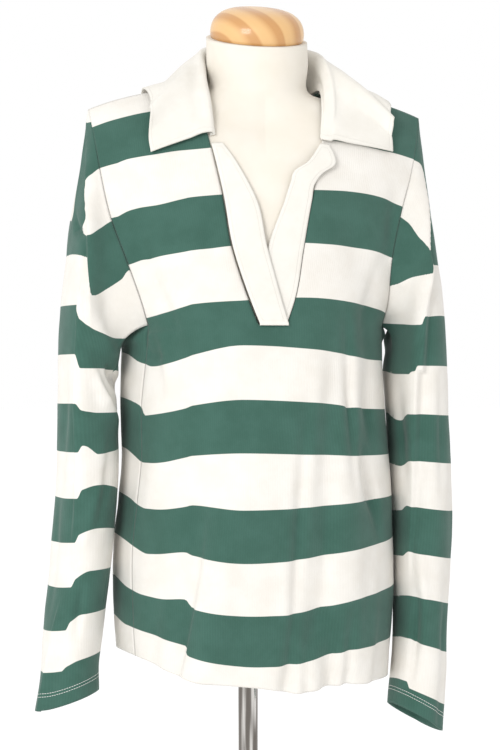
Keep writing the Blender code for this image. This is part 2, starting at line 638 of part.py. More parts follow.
def shoulder_samples():
    """Points and outward directions all over the cloth of the upper front and back."""
    s = np.linspace(-1, 1, SAMPLE_COLUMNS)[None, :]
    level = np.linspace(SAMPLE_LEVEL, NECK_LEVEL, SAMPLE_ROWS)[:, None]
    s, level = (grid.ravel() for grid in np.broadcast_arrays(s, level))
    front = panel(s, level)
    x = front[:, 0]
    cloth = (x < read(SLIT_EDGES, "level", "left", level)) | (x > read(SLIT_EDGES, "level", "right", level))
    back = panel(s, level, True)
    below = level < NECK_LEVEL - neck_drop(back[:, 0])
    return (np.concatenate([front[cloth], back[below]]),
            np.concatenate([panel_normal(s, level)[cloth], panel_normal(s, level, True)[below]]))


def nearest_cloth(points, samples):
    """The distance of points outside the cloth, its outward direction there, and how far it is."""
    surface, normals = samples
    span = ((points[:, None] - surface[None]) ** 2).sum(axis=2)
    nearest = np.argmin(span, axis=1)
    distance = ((points - surface[nearest]) * normals[nearest]).sum(axis=1)
    return distance, normals[nearest], np.sqrt(span.min(axis=1))


def lifted_clear(points, samples, lift):
    """Points moved out where they lie too near the front or the back."""
    distance, outward, _ = nearest_cloth(points, samples)
    return points + outward * np.maximum(0, lift - distance)[:, None]


def inward_move(points, samples):
    """The way in for points that lie too near the inner side of the cloth, or past it."""
    distance, outward, span = nearest_cloth(points.reshape(-1, 3), samples)
    excess = np.maximum(0, distance + CLOTH + FORM_CLEARANCE)
    move = -outward * np.where(span < FORM_CLOTH_REACH, excess, 0)[:, None]
    return move.reshape(points.shape)


def drawn_in(rings, samples):
    """Rings moved in where they, or the middles of their edges, lie too near the cloth."""
    for _ in range(SETTLE_ROUNDS):
        moves = [inward_move(rings, samples)]
        for up, along in ((0, 1), (1, 0), (1, 1), (1, -1)):
            partner = np.roll(rings, (-up, -along), axis=(0, 1))
            move = inward_move((rings + partner) / 2, samples)
            move[len(rings) - up:] = 0
            moves += [move, np.roll(move, (up, along), axis=(0, 1))]
        moves = np.stack(moves)
        longest = np.argmax(np.linalg.norm(moves, axis=-1), axis=0)
        rings = rings + np.take_along_axis(moves, longest[None, ..., None], axis=0)[0]
    return rings


def collar_grid():
    """The collar: up the stand, over the roll and down the fall, station by station."""
    knots = np.linspace(0, 1, len(COLLAR))
    at = np.linspace(0, 1, COLLAR_STATIONS + 1)
    roll = smooth(knots, [(row.roll_x, row.roll_y, row.roll_z) for row in COLLAR], at)
    outer = smooth(knots, [collar_outer(row) for row in COLLAR], at)
    samples = shoulder_samples()
    bulge = smooth(knots, [row.fall_bulge for row in COLLAR], at)[:, None]
    lift = smooth(knots, [row.lift for row in COLLAR], at)
    seam = neckline_point(at)
    outward = unit((outer - roll) * [1, 1, 0])
    up = unit(roll - seam)
    seam = seam - outward * COLLAR_SEAM_SHIFT
    inside = roll - outward * ROLL_HALF_WIDTH - up * ROLL_DROP
    outside = roll + outward * ROLL_HALF_WIDTH - up * ROLL_DROP
    columns = [seam, (seam + inside) / 2, inside, roll]
    for share in FALL_SHARES:
        point = outside + (outer - outside) * share
        point[:, 2:] += bulge * sin(pi * share)
        columns.append(lifted_clear(point, samples, lift))
    return np.stack(columns, axis=1)


def strip_grid(strips, slit_edge, inward):
    """A placket strip: rows across the slit, made from the front's own points, moved out."""
    rows = np.linspace(strips[0].level, strips[-1].level, PLACKET_ROWS + 1)
    outer = read(SLIT_EDGES, "level", slit_edge, rows)
    outer = outer + inward * (PLACKET_GAP - read(strips, "level", "turned_out", rows))
    width = inward * read(strips, "level", "width", rows)
    lift = read(strips, "level", "lift", rows)[:, None, None]
    x = outer[:, None] + width[:, None] * np.linspace(0, 1, PLACKET_COLUMNS + 1)[None, :]
    x = np.sort(x, axis=1)
    level = np.broadcast_to(rows[:, None], x.shape)
    s = across_at(x, level)
    return panel(s, level) + panel_normal(s, level) * lift


def add_strip(name, grid, color):
    """A wall from one free grid."""
    points, normals, faces = sew({name: [grid]})
    add_wall(name, points, normals[name], faces[name], color)


def add_form(collar):
    """The padded torso and its neck, in rings, with a flat foot and a tilted flat top."""
    heights = [row.height for row in FORM_RINGS]
    turn = np.linspace(0, 2 * pi, FORM_SIDES, endpoint=False)
    rings = []
    for height in np.concatenate([np.linspace(heights[0], heights[1], 2),
                                  np.linspace(heights[1], heights[-1], FORM_RING_STEPS)[1:]]):
        row = FormRing(height, *[read(FORM_RINGS, "height", name, height) for name in FormRing._fields[1:]])
        depth = np.where(np.cos(turn) > 0, row.front_depth, row.back_depth)
        rings.append(np.stack([row.x_mid + row.half_width * np.sin(turn), row.y_mid - depth * np.cos(turn),
                               row.height + row.side_rise * np.sin(turn) ** 2], axis=-1))
    cloth, outward = shoulder_samples()
    stand = collar[:, :STAND_COLUMNS].reshape(-1, 3)
    around = unit((stand - np.array(NECK_TOP)) * [1, 1, 0])
    samples = np.concatenate([cloth, stand]), np.concatenate([outward, around])
    rings = list(drawn_in(np.stack(rings), samples))
    top = np.stack([NECK_RADIUS * np.sin(turn), -NECK_RADIUS * np.cos(turn) * cos(NECK_TILT),
                    -NECK_RADIUS * np.cos(turn) * sin(NECK_TILT)], axis=-1) + np.array(NECK_TOP)
    rings.append(top)
    vertices = np.concatenate(rings)
    faces = []
    for start in range(0, (len(rings) - 1) * FORM_SIDES, FORM_SIDES):
        for c in range(FORM_SIDES):
            d = (c + 1) % FORM_SIDES
            faces.append((start + c, start + d, start + FORM_SIDES + d, start + FORM_SIDES + c))
    faces.append(tuple(reversed(range(FORM_SIDES))))
    faces.append(tuple(range((len(rings) - 1) * FORM_SIDES, len(rings) * FORM_SIDES)))
    add_object("form_torso", vertices, faces, CREAM)


def turned(name, profile, steps, color, roughness, metallic):
    """A turned piece from a profile that runs from the axis at the top, down the outer side, to the axis."""
    mesh = bpy.data.meshes.new(name)
    edges = [(i, i + 1) for i in range(len(profile) - 1)]
    mesh.from_pydata([(radius, 0, height) for radius, height in profile], edges, [])
    thing = bpy.data.objects.new(name, mesh)
    finish(thing, color, roughness, metallic)
    screw = thing.modifiers.new("Turn", "SCREW")
    screw.steps = steps
    screw.render_steps = steps
    screw.use_merge_vertices = True
    screw.merge_threshold = 0.00005
    return thing


def add_cap():
    """The turned wooden cap, tilted forward with the neck."""
    profile = [(0.0, CAP_HEIGHT)] + CAP_PROFILE[::-1] + [(0.0, 0.0)]
    cap = turned("neck_cap", profile, CAP_STEPS, WOOD, 0.55, 0.0)
    cap.rotation_euler = (NECK_TILT, 0, 0)
    lift = CAP_GAP
    cap.location = (NECK_TOP[0], NECK_TOP[1] - lift * sin(NECK_TILT), NECK_TOP[2] + lift * cos(NECK_TILT))


def add_stand():
    """The pole and its round foot."""
    top = FORM_RINGS[0].height - SEAM_GAP
    foot = BASE_HEIGHT + SEAM_GAP
    turned("pole", [(0, top), (POLE_RADIUS, top), (POLE_RADIUS, foot), (0, foot)], POLE_STEPS, CHROME, 0.2, 1.0)
    corner = BASE_EDGE * (1 - cos(pi / 4))
    profile = [(0, BASE_HEIGHT), (BASE_RADIUS - BASE_EDGE, BASE_HEIGHT),
               (BASE_RADIUS - corner, BASE_HEIGHT - corner), (BASE_RADIUS, BASE_HEIGHT - BASE_EDGE),
               (BASE_RADIUS, 0), (0, 0)]
    turned("base", profile, BASE_STEPS, STEEL, 0.35, 1.0)


for thing in list(bpy.data.objects):
    bpy.data.objects.remove(thing, do_unlink=True)
collection = bpy.data.collections.new("polo_shirt_on_dress_form")
bpy.context.scene.collection.children.link(collection)
add_shirt()
collar = collar_grid()
add_strip("collar", collar, WHITE)
add_strip("placket_right", strip_grid(PLACKET_RIGHT, "left", 1), WHITE)
add_strip("placket_left", strip_grid(PLACKET_LEFT, "right", -1), WHITE)
add_form(collar)
add_cap()
add_stand()
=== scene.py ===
"""Looks of the long-sleeved striped polo shirt on its dress form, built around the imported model.

Metres, +Z up. The front faces -Y and +X is the viewer's right. Each panel of the shirt is a fine grid
on the form of its solid, with creases, stripes and stitches of its own.
"""

from collections import namedtuple
from math import cos, pi, radians, sin

import bmesh
import bpy
import numpy as np
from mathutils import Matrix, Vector, noise


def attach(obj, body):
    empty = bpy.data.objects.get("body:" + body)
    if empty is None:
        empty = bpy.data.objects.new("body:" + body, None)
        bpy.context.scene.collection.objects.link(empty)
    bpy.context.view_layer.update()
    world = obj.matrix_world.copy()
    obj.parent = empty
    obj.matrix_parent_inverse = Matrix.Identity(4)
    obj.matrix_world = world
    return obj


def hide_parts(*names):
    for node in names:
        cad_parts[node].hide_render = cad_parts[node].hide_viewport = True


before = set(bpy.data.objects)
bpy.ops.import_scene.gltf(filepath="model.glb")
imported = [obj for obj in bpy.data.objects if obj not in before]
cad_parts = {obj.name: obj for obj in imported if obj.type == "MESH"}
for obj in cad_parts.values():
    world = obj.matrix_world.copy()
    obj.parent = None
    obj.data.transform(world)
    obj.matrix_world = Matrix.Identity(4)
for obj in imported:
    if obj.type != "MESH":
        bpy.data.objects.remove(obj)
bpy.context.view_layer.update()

# Camera: its picture is 750 high, and the focal length is 1869 of the same units
CAMERA_AZIMUTH = radians(-11)
CAMERA_DISTANCE = 2.10
CAMERA_HEIGHT = 1.160
CAMERA_ASIDE = 0.0022
SENSOR = 36.0
FOCAL_PER_PHOTO_HEIGHT = 1869 / 750

# Cloth and seams
CLOTH = 0.0015
WELD = 0.00002
SHARP_ANGLE = radians(50)

# Grids: quads across and along each panel
SIDE_COLUMNS = 52
SLIT_COLUMNS = 12
NECK_COLUMNS = 24
LOWER_ROWS = 150
UPPER_ROWS = 96
SLEEVE_HEAD_ROWS = 56
SLEEVE_TUBE_ROWS = 130
COLLAR_STATIONS = 36
COLLAR_FINE = (216, 54)
PLACKET_ROWS = 120
PLACKET_COLUMNS = 20
FORM_FINE = (120, 120)

# Points read off the shoulders, by which the collar and the form keep clear of the cloth
SAMPLE_LEVEL = 1.28
SAMPLE_ROWS = 60
SAMPLE_COLUMNS = 91

# Dress form
POLE_RADIUS = 0.011
BASE_RADIUS = 0.165
BASE_HEIGHT = 0.012
BASE_EDGE = 0.003
FORM_SIDES = 24
FORM_RING_STEPS = 20
FORM_CLEARANCE = 0.0012
FORM_CLOTH_REACH = 0.020
SETTLE_ROUNDS = 4
NECK_TILT = radians(18)
NECK_TOP = (0.0, -0.050, 1.5277)
CAP_PROFILE = [(0.0500, 0.0000), (0.0515, 0.0030), (0.0515, 0.0110), (0.0490, 0.0195), (0.0425, 0.0270),
               (0.0320, 0.0320), (0.0170, 0.0342)]
CAP_HEIGHT = 0.0347
TOUCH_GAP = 0.0003

# Levels of the cloth, measured at the middle of a panel
HEM = 0.825
UNDERARM = 1.213
NECK_LEVEL = 1.478
HEM_RISE_REACH = 0.28
MIDDLE_FADE = 0.1

# Below the arms the shirt is an oval ring at each height. The side seams are angles from the middle
# of the front, towards the viewer's left and right.
Ring = namedtuple("Ring", "height x_mid half_width front_y back_y left_seam right_seam")
BODY_RINGS = [Ring(*row) for row in (
    (0.82, 0, 0.151, -0.15, 0.096, 66, 84), (0.857, 0, 0.153, -0.151, 0.096, 66, 84),
    (0.912, 0.001, 0.156, -0.152, 0.095, 66, 84), (0.973, 0.001, 0.1555, -0.152, 0.093, 66, 84),
    (1.022, 0.003, 0.1525, -0.151, 0.09, 66, 84), (1.07, 0.003, 0.149, -0.15, 0.088, 65, 84),
    (1.12, 0, 0.1475, -0.149, 0.086, 64, 83), (1.19, -0.0015, 0.145, -0.148, 0.085, 60, 80),
    (1.213, -0.0015, 0.145, -0.1475, 0.085, 59, 79),
)]
HemRise = namedtuple("HemRise", "angle rise")
HEM_RISES = [HemRise(*row) for row in (
    (-180, 0.022), (-114, 0.034), (-66, 0.035), (-36, 0.016), (-3, 0.006), (10, 0), (22, 0.003),
    (84, 0.004), (130, 0.012), (180, 0.022),
)]

# Middle of each panel above the arms, up to the line of the shoulder seams
Middle = namedtuple("Middle", "level y z")
FRONT_MIDDLE = [Middle(*row) for row in (
    (1.213, -0.1475, 1.213), (1.26, -0.138, 1.26), (1.31, -0.125, 1.31), (1.36, -0.113, 1.36),
    (1.405, -0.101, 1.405), (1.44, -0.086, 1.44), (1.462, -0.068, 1.465), (1.478, -0.045, 1.4785),
)]
BACK_MIDDLE = [Middle(*row) for row in (
    (1.213, 0.085, 1.213), (1.27, 0.087, 1.272), (1.33, 0.084, 1.335), (1.38, 0.074, 1.39),
    (1.42, 0.056, 1.436), (1.448, 0.029, 1.464), (1.463, -0.006, 1.4755), (1.478, -0.045, 1.4785),
)]

# Armhole edges above the underarm, each ending at the shoulder tip. The wrap is how far the row of
# cloth turns from the middle of its panel to this edge, in degrees.
Edge = namedtuple("Edge", "x y z wrap")
SHOULDER_TIP_LEFT = Edge(-0.1850, -0.0470, 1.4470, 48)
SHOULDER_TIP_RIGHT = Edge(0.1850, -0.0470, 1.4470, 48)
ARMHOLE_LEFT_FRONT = [Edge(*row) for row in (
    (-0.133, -0.097, 1.235, 58), (-0.148, -0.095, 1.278, 57), (-0.1655, -0.086, 1.329, 56),
    (-0.1765, -0.075, 1.385, 54), (-0.1815, -0.064, 1.42, 51), SHOULDER_TIP_LEFT,
)]
ARMHOLE_LEFT_BACK = [Edge(*row) for row in (
    (-0.14, -0.056, 1.224, 101), (-0.1465, -0.017, 1.236, 84), (-0.1545, 0.014, 1.26, 72),
    (-0.163, 0.028, 1.3, 65), (-0.173, 0.018, 1.36, 58), (-0.181, -0.01, 1.418, 52), SHOULDER_TIP_LEFT,
)]
ARMHOLE_RIGHT_FRONT = [Edge(*row) for row in (
    (0.141, -0.079, 1.24, 70), (0.1425, -0.09, 1.283, 64), (0.155, -0.083, 1.337, 58),
    (0.17, -0.073, 1.385, 54), (0.179, -0.062, 1.42, 51), SHOULDER_TIP_RIGHT,
)]
ARMHOLE_RIGHT_BACK = [Edge(*row) for row in (
    (0.1445, -0.029, 1.223, 91), (0.149, -0.004, 1.235, 80), (0.1545, 0.017, 1.26, 70),
    (0.162, 0.028, 1.3, 63), (0.1725, 0.018, 1.36, 57), (0.1805, -0.01, 1.418, 51), SHOULDER_TIP_RIGHT,
)]

# How a sleeve leaves its armhole at the shoulder, at the front and back, and under the arm: sideways
# and up, as shares of the way to the ring under the armhole
Leave = namedtuple("Leave", "sideways up")
LEAVE_OVER = Leave(0.12, -1.0)
LEAVE_FACE = Leave(1.1, -0.1)
LEAVE_UNDER = Leave(1.1, -0.3)
FACE_SWELL = 0.15

# Neck: the slit widens from its foot to the shoulder seams, and the back neckline is a shallow curve
SlitEdge = namedtuple("SlitEdge", "level left right")
SLIT_EDGES = [SlitEdge(*row) for row in (
    (1.213, -0.0176, 0.0134), (1.24, -0.0275, 0.0235), (1.292, -0.0415, 0.0355), (1.35, -0.049, 0.0485),
    (1.41, -0.06, 0.062), (1.478, -0.072, 0.074),
)]
NECKLINE_LEVELS = [1.418, 1.450]
BACK_NECK_DROP = 0.030
COLLAR_SEAM_SHIFT = 0.0022
ROLL_HALF_WIDTH = 0.0032
ROLL_DROP = 0.0025
STAND_COLUMNS = 3
FALL_SHARES = (0.0, 0.3, 0.6, 0.85, 1.0)

# Sleeve rings below the armholes, from the ring under the armhole down to the cuff. The slopes are
# the fall of the ring from its inner to its outer side, and from its front to its back.
SleeveRing = namedtuple("SleeveRing", "height inner outer y_mid half_depth outer_drop back_drop")
SLEEVE_LEFT_RINGS = [SleeveRing(*row) for row in (
    (1.165, 0.157, 0.2165, -0.041, 0.058, 0, 0), (1.068, 0.152, 0.218, -0.043, 0.055, 0.004, 0),
    (0.968, 0.159, 0.2257, -0.046, 0.05, 0.006, 0.002), (0.884, 0.17, 0.2346, -0.049, 0.045, 0.01, 0.004),
    (0.852, 0.174, 0.237, -0.05, 0.042, 0.014, 0.004), (0.824, 0.174, 0.243, -0.051, 0.039, 0.022, 0.004),
)]
SLEEVE_RIGHT_RINGS = [SleeveRing(*row) for row in (
    (1.165, 0.153, 0.2195, -0.041, 0.058, 0, 0), (1.068, 0.157, 0.2223, -0.043, 0.055, 0.004, 0),
    (0.968, 0.161, 0.2225, -0.046, 0.05, 0.008, 0.003), (0.884, 0.161, 0.2178, -0.049, 0.045, 0.016, 0.006),
    (0.852, 0.159, 0.2178, -0.05, 0.042, 0.022, 0.008), (0.801, 0.153, 0.2135, -0.051, 0.039, 0.034, 0.009),
)]
LEFT_LOOP_SHIFT = 0.058
RIGHT_LOOP_SHIFT = 0.026
# How much nearer to the body a sleeve hangs than its rings say, by its side
SLEEVE_LEAN = {-1: 0.0, 1: 0.0042}

# Collar stations, from the viewer's left end round the back to the right end: the point of the
# neckline, the top of the roll, and the outer edge given by its x and its level on the panel below
Station = namedtuple("Station", "roll_x roll_y roll_z outer_x outer_level fall_bulge lift")
COLLAR = [Station(*row) for row in (
    (-0.0585, -0.0975, 1.419, -0.1225, 1.403, 0, 0.005),
    (-0.0605, -0.085, 1.454, -0.124, 1.422, 0.003, 0.006),
    (-0.06, -0.052, 1.493, -0.119, 1.452, 0.007, 0.009), (-0.052, -0.01, 1.523, -0.1, -1.44, 0.008, 0.009),
    (0.006, 0.027, 1.532, 0.005, -1.425, 0.006, 0.006), (0.066, -0.01, 1.525, 0.12, -1.44, 0.007, 0.009),
    (0.0785, -0.05, 1.502, 0.141, 1.452, 0.007, 0.012), (0.08, -0.079, 1.456, 0.143, 1.432, 0.004, 0.006),
    (0.072, -0.099, 1.412, 0.143, 1.417, 0, 0.005),
)]

# Placket strips, row by row from the foot of the slit: the width of the strip, how far its outer edge
# is turned out over the front, and how far it is lifted off the line of the front
Strip = namedtuple("Strip", "level width turned_out lift")
PLACKET_RIGHT = [Strip(*row) for row in (
    (1.2115, 0.031, 0, 0.0042), (1.24, 0.034, 0, 0.004), (1.292, 0.0365, 0, 0.0038),
    (1.346, 0.0344, 0, 0.003), (1.364, 0.0295, 0, 0.003), (1.402, 0.0155, 0, 0.002),
    (1.409, 0.012, 0, 0.0015),
)]
PLACKET_LEFT = [Strip(*row) for row in (
    (1.215, 0.0278, 0, 0.0002), (1.24, 0.032, 0, 0.0002), (1.292, 0.039, 0, 0.0004),
    (1.348, 0.0298, 0, 0.0014), (1.366, 0.0275, 0, 0.0034), (1.378, 0.032, 0.0065, 0.005),
    (1.387, 0.0315, 0.017, 0.0056), (1.4, 0.021, 0.0142, 0.0056), (1.41, 0.009, 0.0067, 0.005),
)]
PLACKET_GAP = 0.0006

# Rings of the padded torso, from its foot to the neck. The sides of a ring stand higher than its front.
FormRing = namedtuple("FormRing", "height side_rise x_mid half_width y_mid front_depth back_depth")
FORM_RINGS = [FormRing(*row) for row in (
    (0.888, 0, 0, 0.136, -0.028, 0.096, 0.1), (0.896, 0, 0, 0.14, -0.028, 0.099, 0.103),
    (0.95, 0, 0, 0.141, -0.028, 0.1, 0.104), (1.03, 0, 0, 0.122, -0.028, 0.088, 0.086),
    (1.08, 0, 0, 0.111, -0.028, 0.082, 0.076), (1.15, 0, 0, 0.122, -0.028, 0.097, 0.085),
    (1.23, 0, 0, 0.133, -0.029, 0.108, 0.094), (1.3, 0.01, 0, 0.138, -0.03, 0.094, 0.098),
    (1.36, 0.05, 0, 0.148, -0.031, 0.08, 0.09), (1.4, 0.048, 0, 0.145, -0.032, 0.069, 0.074),
    (1.428, 0.036, 0.002, 0.12, -0.032, 0.057, 0.054), (1.446, 0.018, 0.003, 0.078, -0.032, 0.049, 0.044),
    (1.464, 0.006, 0.003, 0.059, -0.033, 0.05, 0.041), (1.482, 0.003, 0.003, 0.0565, -0.037, 0.053, 0.046),
    (1.5, 0, 0.002, 0.056, -0.042, 0.055, 0.053),
)]
NECK_RADIUS = 0.0555

# Large folds: a line on the panel from its top to its foot, how wide it is, and how far the cloth
# stands out (or, below zero, sinks in)
FOLD_SEAM_FADE = 0.2
FOLD_TOP = 1.40
FOLD_TOP_FADE = 0.1
Fold = namedtuple("Fold", "x_top z_top x_foot z_foot width height")
FRONT_FOLDS = [Fold(*row) for row in (
    (-0.06, 1.235, -0.075, 1.18, 0.045, 0.006), (0.075, 1.235, 0.085, 1.18, 0.04, 0.006),
    (0.066, 1.175, 0.04, 0.88, 0.014, -0.005), (0.046, 1.15, 0.014, 0.86, 0.016, 0.0035),
    (0.108, 1.225, 0.115, 1.03, 0.014, -0.005), (0.085, 1.12, 0.088, 0.85, 0.018, 0.005),
    (0.052, 0.9, 0.064, 0.822, 0.014, -0.006), (-0.046, 1.02, -0.066, 0.84, 0.018, 0.0055),
    (-0.08, 1.01, -0.098, 0.84, 0.015, -0.0045),
)]
BACK_FOLDS = [Fold(*row) for row in (
    (-0.02, 1.3, -0.045, 0.86, 0.016, 0.006), (0.045, 1.15, 0.065, 0.84, 0.014, -0.006),
    (-0.085, 1.12, -0.1, 0.85, 0.013, -0.005), (0.095, 1.28, 0.115, 0.95, 0.016, 0.005),
    (-0.12, 1.3, -0.06, 1.2, 0.014, -0.004), (0.125, 1.3, 0.07, 1.19, 0.014, -0.004),
    (0.01, 0.96, 0.02, 0.825, 0.018, 0.006),
)]

# Stripes of the front and back: the level of each edge of a green stripe, from the hem up, at places
# across the shirt given by their x
STRIPE_X = (-0.158, -0.145, -0.132, -0.129, -0.122, -0.091, -0.084, -0.033, 0.0435, 0.125, 0.172)
BODY_EDGES = [
    (0.879, 0.865, 0.864, 0.864, 0.864, 0.863, 0.854, 0.848, 0.859, 0.867, 0.869),
    (0.931, 0.916, 0.912, 0.912, 0.912, 0.917, 0.909, 0.904, 0.912, 0.924, 0.93),
    (0.984, 0.973, 0.964, 0.963, 0.964, 0.97, 0.967, 0.961, 0.968, 0.977, 0.984),
    (1.037, 1.027, 1.016, 1.015, 1.015, 1.02, 1.022, 1.018, 1.021, 1.026, 1.028),
    (1.089, 1.081, 1.067, 1.066, 1.066, 1.073, 1.075, 1.078, 1.076, 1.073, 1.073),
    (1.14, 1.135, 1.126, 1.117, 1.118, 1.125, 1.128, 1.134, 1.131, 1.123, 1.122),
    (1.189, 1.184, 1.173, 1.172, 1.169, 1.178, 1.181, 1.191, 1.187, 1.176, 1.175),
    (1.203, 1.212, 1.22, 1.221, 1.223, 1.233, 1.235, 1.238, 1.242, 1.236, 1.232),
    (1.283, 1.285, 1.288, 1.288, 1.289, 1.292, 1.293, 1.297, 1.301, 1.302, 1.3),
    (1.341, 1.345, 1.346, 1.346, 1.346, 1.35, 1.351, 1.353, 1.359, 1.364, 1.361),
    (1.4, 1.402, 1.402, 1.402, 1.402, 1.403, 1.403, 1.406, 1.418, 1.417, 1.421),
    (1.451, 1.451, 1.451, 1.451, 1.451, 1.453, 1.453, 1.457, 1.468, 1.483, 1.484),
]
# The same on a sleeve: each edge as pairs of turn and height. The turn is in degrees from the side by
# the body, round by the front.
AT_LEFT_EDGES = [
    [(0, 0.866), (80, 0.864), (106, 0.86), (113, 0.857), (250, 0.86), (360, 0.866)],
    [(0, 0.911), (80, 0.911), (106, 0.905), (113, 0.897), (250, 0.9), (360, 0.911)],
    [(0, 0.954), (80, 0.956), (106, 0.949), (113, 0.941), (250, 0.946), (360, 0.954)],
    [(0, 0.994), (80, 1), (106, 0.995), (113, 0.987), (250, 0.99), (360, 0.994)],
    [(0, 1.035), (80, 1.046), (106, 1.042), (113, 1.033), (250, 1.036), (360, 1.035)],
    [(0, 1.082), (80, 1.078), (106, 1.088), (113, 1.081), (250, 1.083), (360, 1.082)],
    [(0, 1.12), (80, 1.121), (106, 1.124), (113, 1.131), (250, 1.13), (360, 1.12)],
    [(0, 1.163), (80, 1.167), (106, 1.167), (113, 1.182), (250, 1.18), (360, 1.163)],
    [(0, 1.198), (45, 1.2), (80, 1.205), (106, 1.218), (113, 1.234), (250, 1.234), (360, 1.198)],
    [(0, 1.272), (35, 1.271), (42, 1.261), (62, 1.25), (90, 1.242), (96, 1.284), (145, 1.289), (250, 1.284),
     (360, 1.272)],
    [(0, 1.328), (40, 1.325), (68, 1.314), (93, 1.305), (96, 1.306), (121, 1.3138), (250, 1.33),
     (360, 1.328)],
    [(0, 1.385), (60, 1.38), (72, 1.375), (91, 1.365), (94, 1.336), (121, 1.314), (180, 1.322),
     (250, 1.376),
     (360, 1.385)],
    [(0, 1.434), (80, 1.432), (110, 1.436), (250, 1.436), (360, 1.434)],
]
AT_RIGHT_EDGES = [
    [(0, 0.828), (30, 0.829), (46, 0.829), (54, 0.823), (240, 0.826), (360, 0.828)],
    [(0, 0.872), (30, 0.874), (46, 0.874), (54, 0.872), (240, 0.872), (360, 0.872)],
    [(0, 0.916), (30, 0.919), (46, 0.92), (54, 0.92), (240, 0.918), (360, 0.916)],
    [(0, 0.961), (30, 0.962), (46, 0.968), (54, 0.967), (240, 0.964), (360, 0.961)],
    [(0, 1.01), (30, 1.012), (46, 1.018), (54, 1.017), (240, 1.014), (360, 1.01)],
    [(0, 1.062), (30, 1.06), (50, 1.066), (56, 1.067), (240, 1.064), (360, 1.062)],
    [(0, 1.118), (30, 1.11), (50, 1.116), (56, 1.118), (240, 1.116), (360, 1.118)],
    [(0, 1.164), (30, 1.161), (60, 1.161), (66, 1.17), (240, 1.168), (360, 1.164)],
    [(0, 1.222), (15, 1.217), (37, 1.216), (71, 1.214), (75, 1.223), (120, 1.225), (240, 1.222),
     (360, 1.222)],
    [(0, 1.275), (17, 1.254), (56, 1.267), (77, 1.268), (80, 1.28), (120, 1.281), (240, 1.276),
     (360, 1.275)],
    [(0, 1.345), (30, 1.337), (45, 1.327), (60, 1.309), (75, 1.296), (79, 1.291), (82, 1.325), (140, 1.33),
     (240, 1.33), (360, 1.345)],
    [(0, 1.405), (60, 1.396), (71, 1.393), (79, 1.386), (82, 1.3252), (140, 1.3302), (240, 1.38),
     (360, 1.405)],
    [(0, 1.466), (120, 1.466), (240, 1.462), (360, 1.466)],
]
STRIPE_PERIOD = 0.113
STRIPE_LEAST = 0.0002
# Where a tuck swallows the white between two stripes of a sleeve: turns, height, and half its depth
Tuck = namedtuple("Tuck", "turn_low turn_high height_low height_high reach")
AT_LEFT_TUCK = Tuck(118, 215, 1.3138, 1.3250, 0.0075)
AT_RIGHT_TUCK = Tuck(82, 175, 1.3250, 1.3300, 0.0075)

# Creases: a line on a panel from its top to its foot, bowed sideways in the middle. A crease is as wide
# as 'wide' on its left and as 'lee' on its right, seen from outside, and stands out, or below zero sinks
# in, by its heights at the top, in the middle and at the foot.
Crease = namedtuple("Crease", "a_top z_top a_foot z_foot bow wide lee top middle foot")
FRONT_CREASES = [Crease(*row) for row in (
    (-0.066, 1.03, -0.094, 0.83, 0.004, 0.003, 0.022, 0, 0.0035, 0.0055),
    (0.04, 1.165, 0.02, 0.85, -0.004, 0.007, 0.01, 0, -0.006, -0.003),
    (0.06, 1.06, 0.048, 0.89, 0.003, 0.006, 0.008, 0, -0.003, -0.001),
    (0.092, 0.93, 0.084, 0.822, -0.002, 0.007, 0.006, 0, -0.0034, -0.0044),
    (0.112, 1.18, 0.118, 1.07, -0.003, 0.007, 0.006, 0, -0.0036, 0),
    (0.08, 1.24, 0.092, 1.02, 0.002, 0.008, 0.005, 0, -0.0062, 0),
    (0.097, 1.1, 0.127, 0.97, 0.003, 0.008, 0.005, 0, -0.0062, 0),
    (0.013, 0.905, 0.01, 0.82, 0.002, 0.007, 0.009, 0, -0.0036, -0.0052),
    (0.04, 0.9, 0.036, 0.82, -0.002, 0.006, 0.007, 0, -0.0022, -0.0035),
    (0.062, 0.905, 0.062, 0.82, 0.002, 0.008, 0.006, 0, -0.0036, -0.0052),
    (-0.138, 1.196, -0.085, 1.203, 0.004, 0.006, 0.004, 0.0036, 0.002, 0),
    (-0.136, 1.187, -0.1, 1.178, -0.002, 0.004, 0.005, -0.003, -0.002, 0),
    (-0.142, 1.29, -0.095, 1.18, 0.006, 0.01, 0.006, 0, -0.0026, 0),
    (-0.15, 1.33, -0.112, 1.23, 0.004, 0.008, 0.008, 0, -0.0022, 0),
    (-0.118, 1.225, -0.108, 1.13, 0.002, 0.003, 0.008, 0, 0.0022, 0),
    (0.135, 1.3, 0.1, 1.19, -0.004, 0.008, 0.012, 0, -0.0024, 0),
    (0.15, 1.38, 0.132, 1.27, 0.002, 0.008, 0.01, 0, -0.0024, 0),
    (-0.005, 1.19, -0.06, 1.06, 0.01, 0.02, 0.026, 0, -0.0018, 0),
    (-0.03, 1.12, -0.02, 0.9, 0.006, 0.022, 0.03, 0, 0.0022, 0.0008),
    (-0.115, 0.96, -0.122, 0.825, -0.003, 0.01, 0.008, 0, -0.002, -0.003),
    (-0.125, 1.11, -0.128, 1, 0.004, 0.008, 0.012, 0, 0.0018, 0),
    (0.118, 0.96, 0.104, 0.825, 0.004, 0.01, 0.008, 0, 0.0022, 0.003),
    (-0.06, 1.33, -0.08, 1.24, 0.004, 0.014, 0.018, 0, -0.0012, 0),
    (0.09, 1.34, 0.11, 1.25, -0.004, 0.014, 0.016, 0, -0.0014, 0),
)]
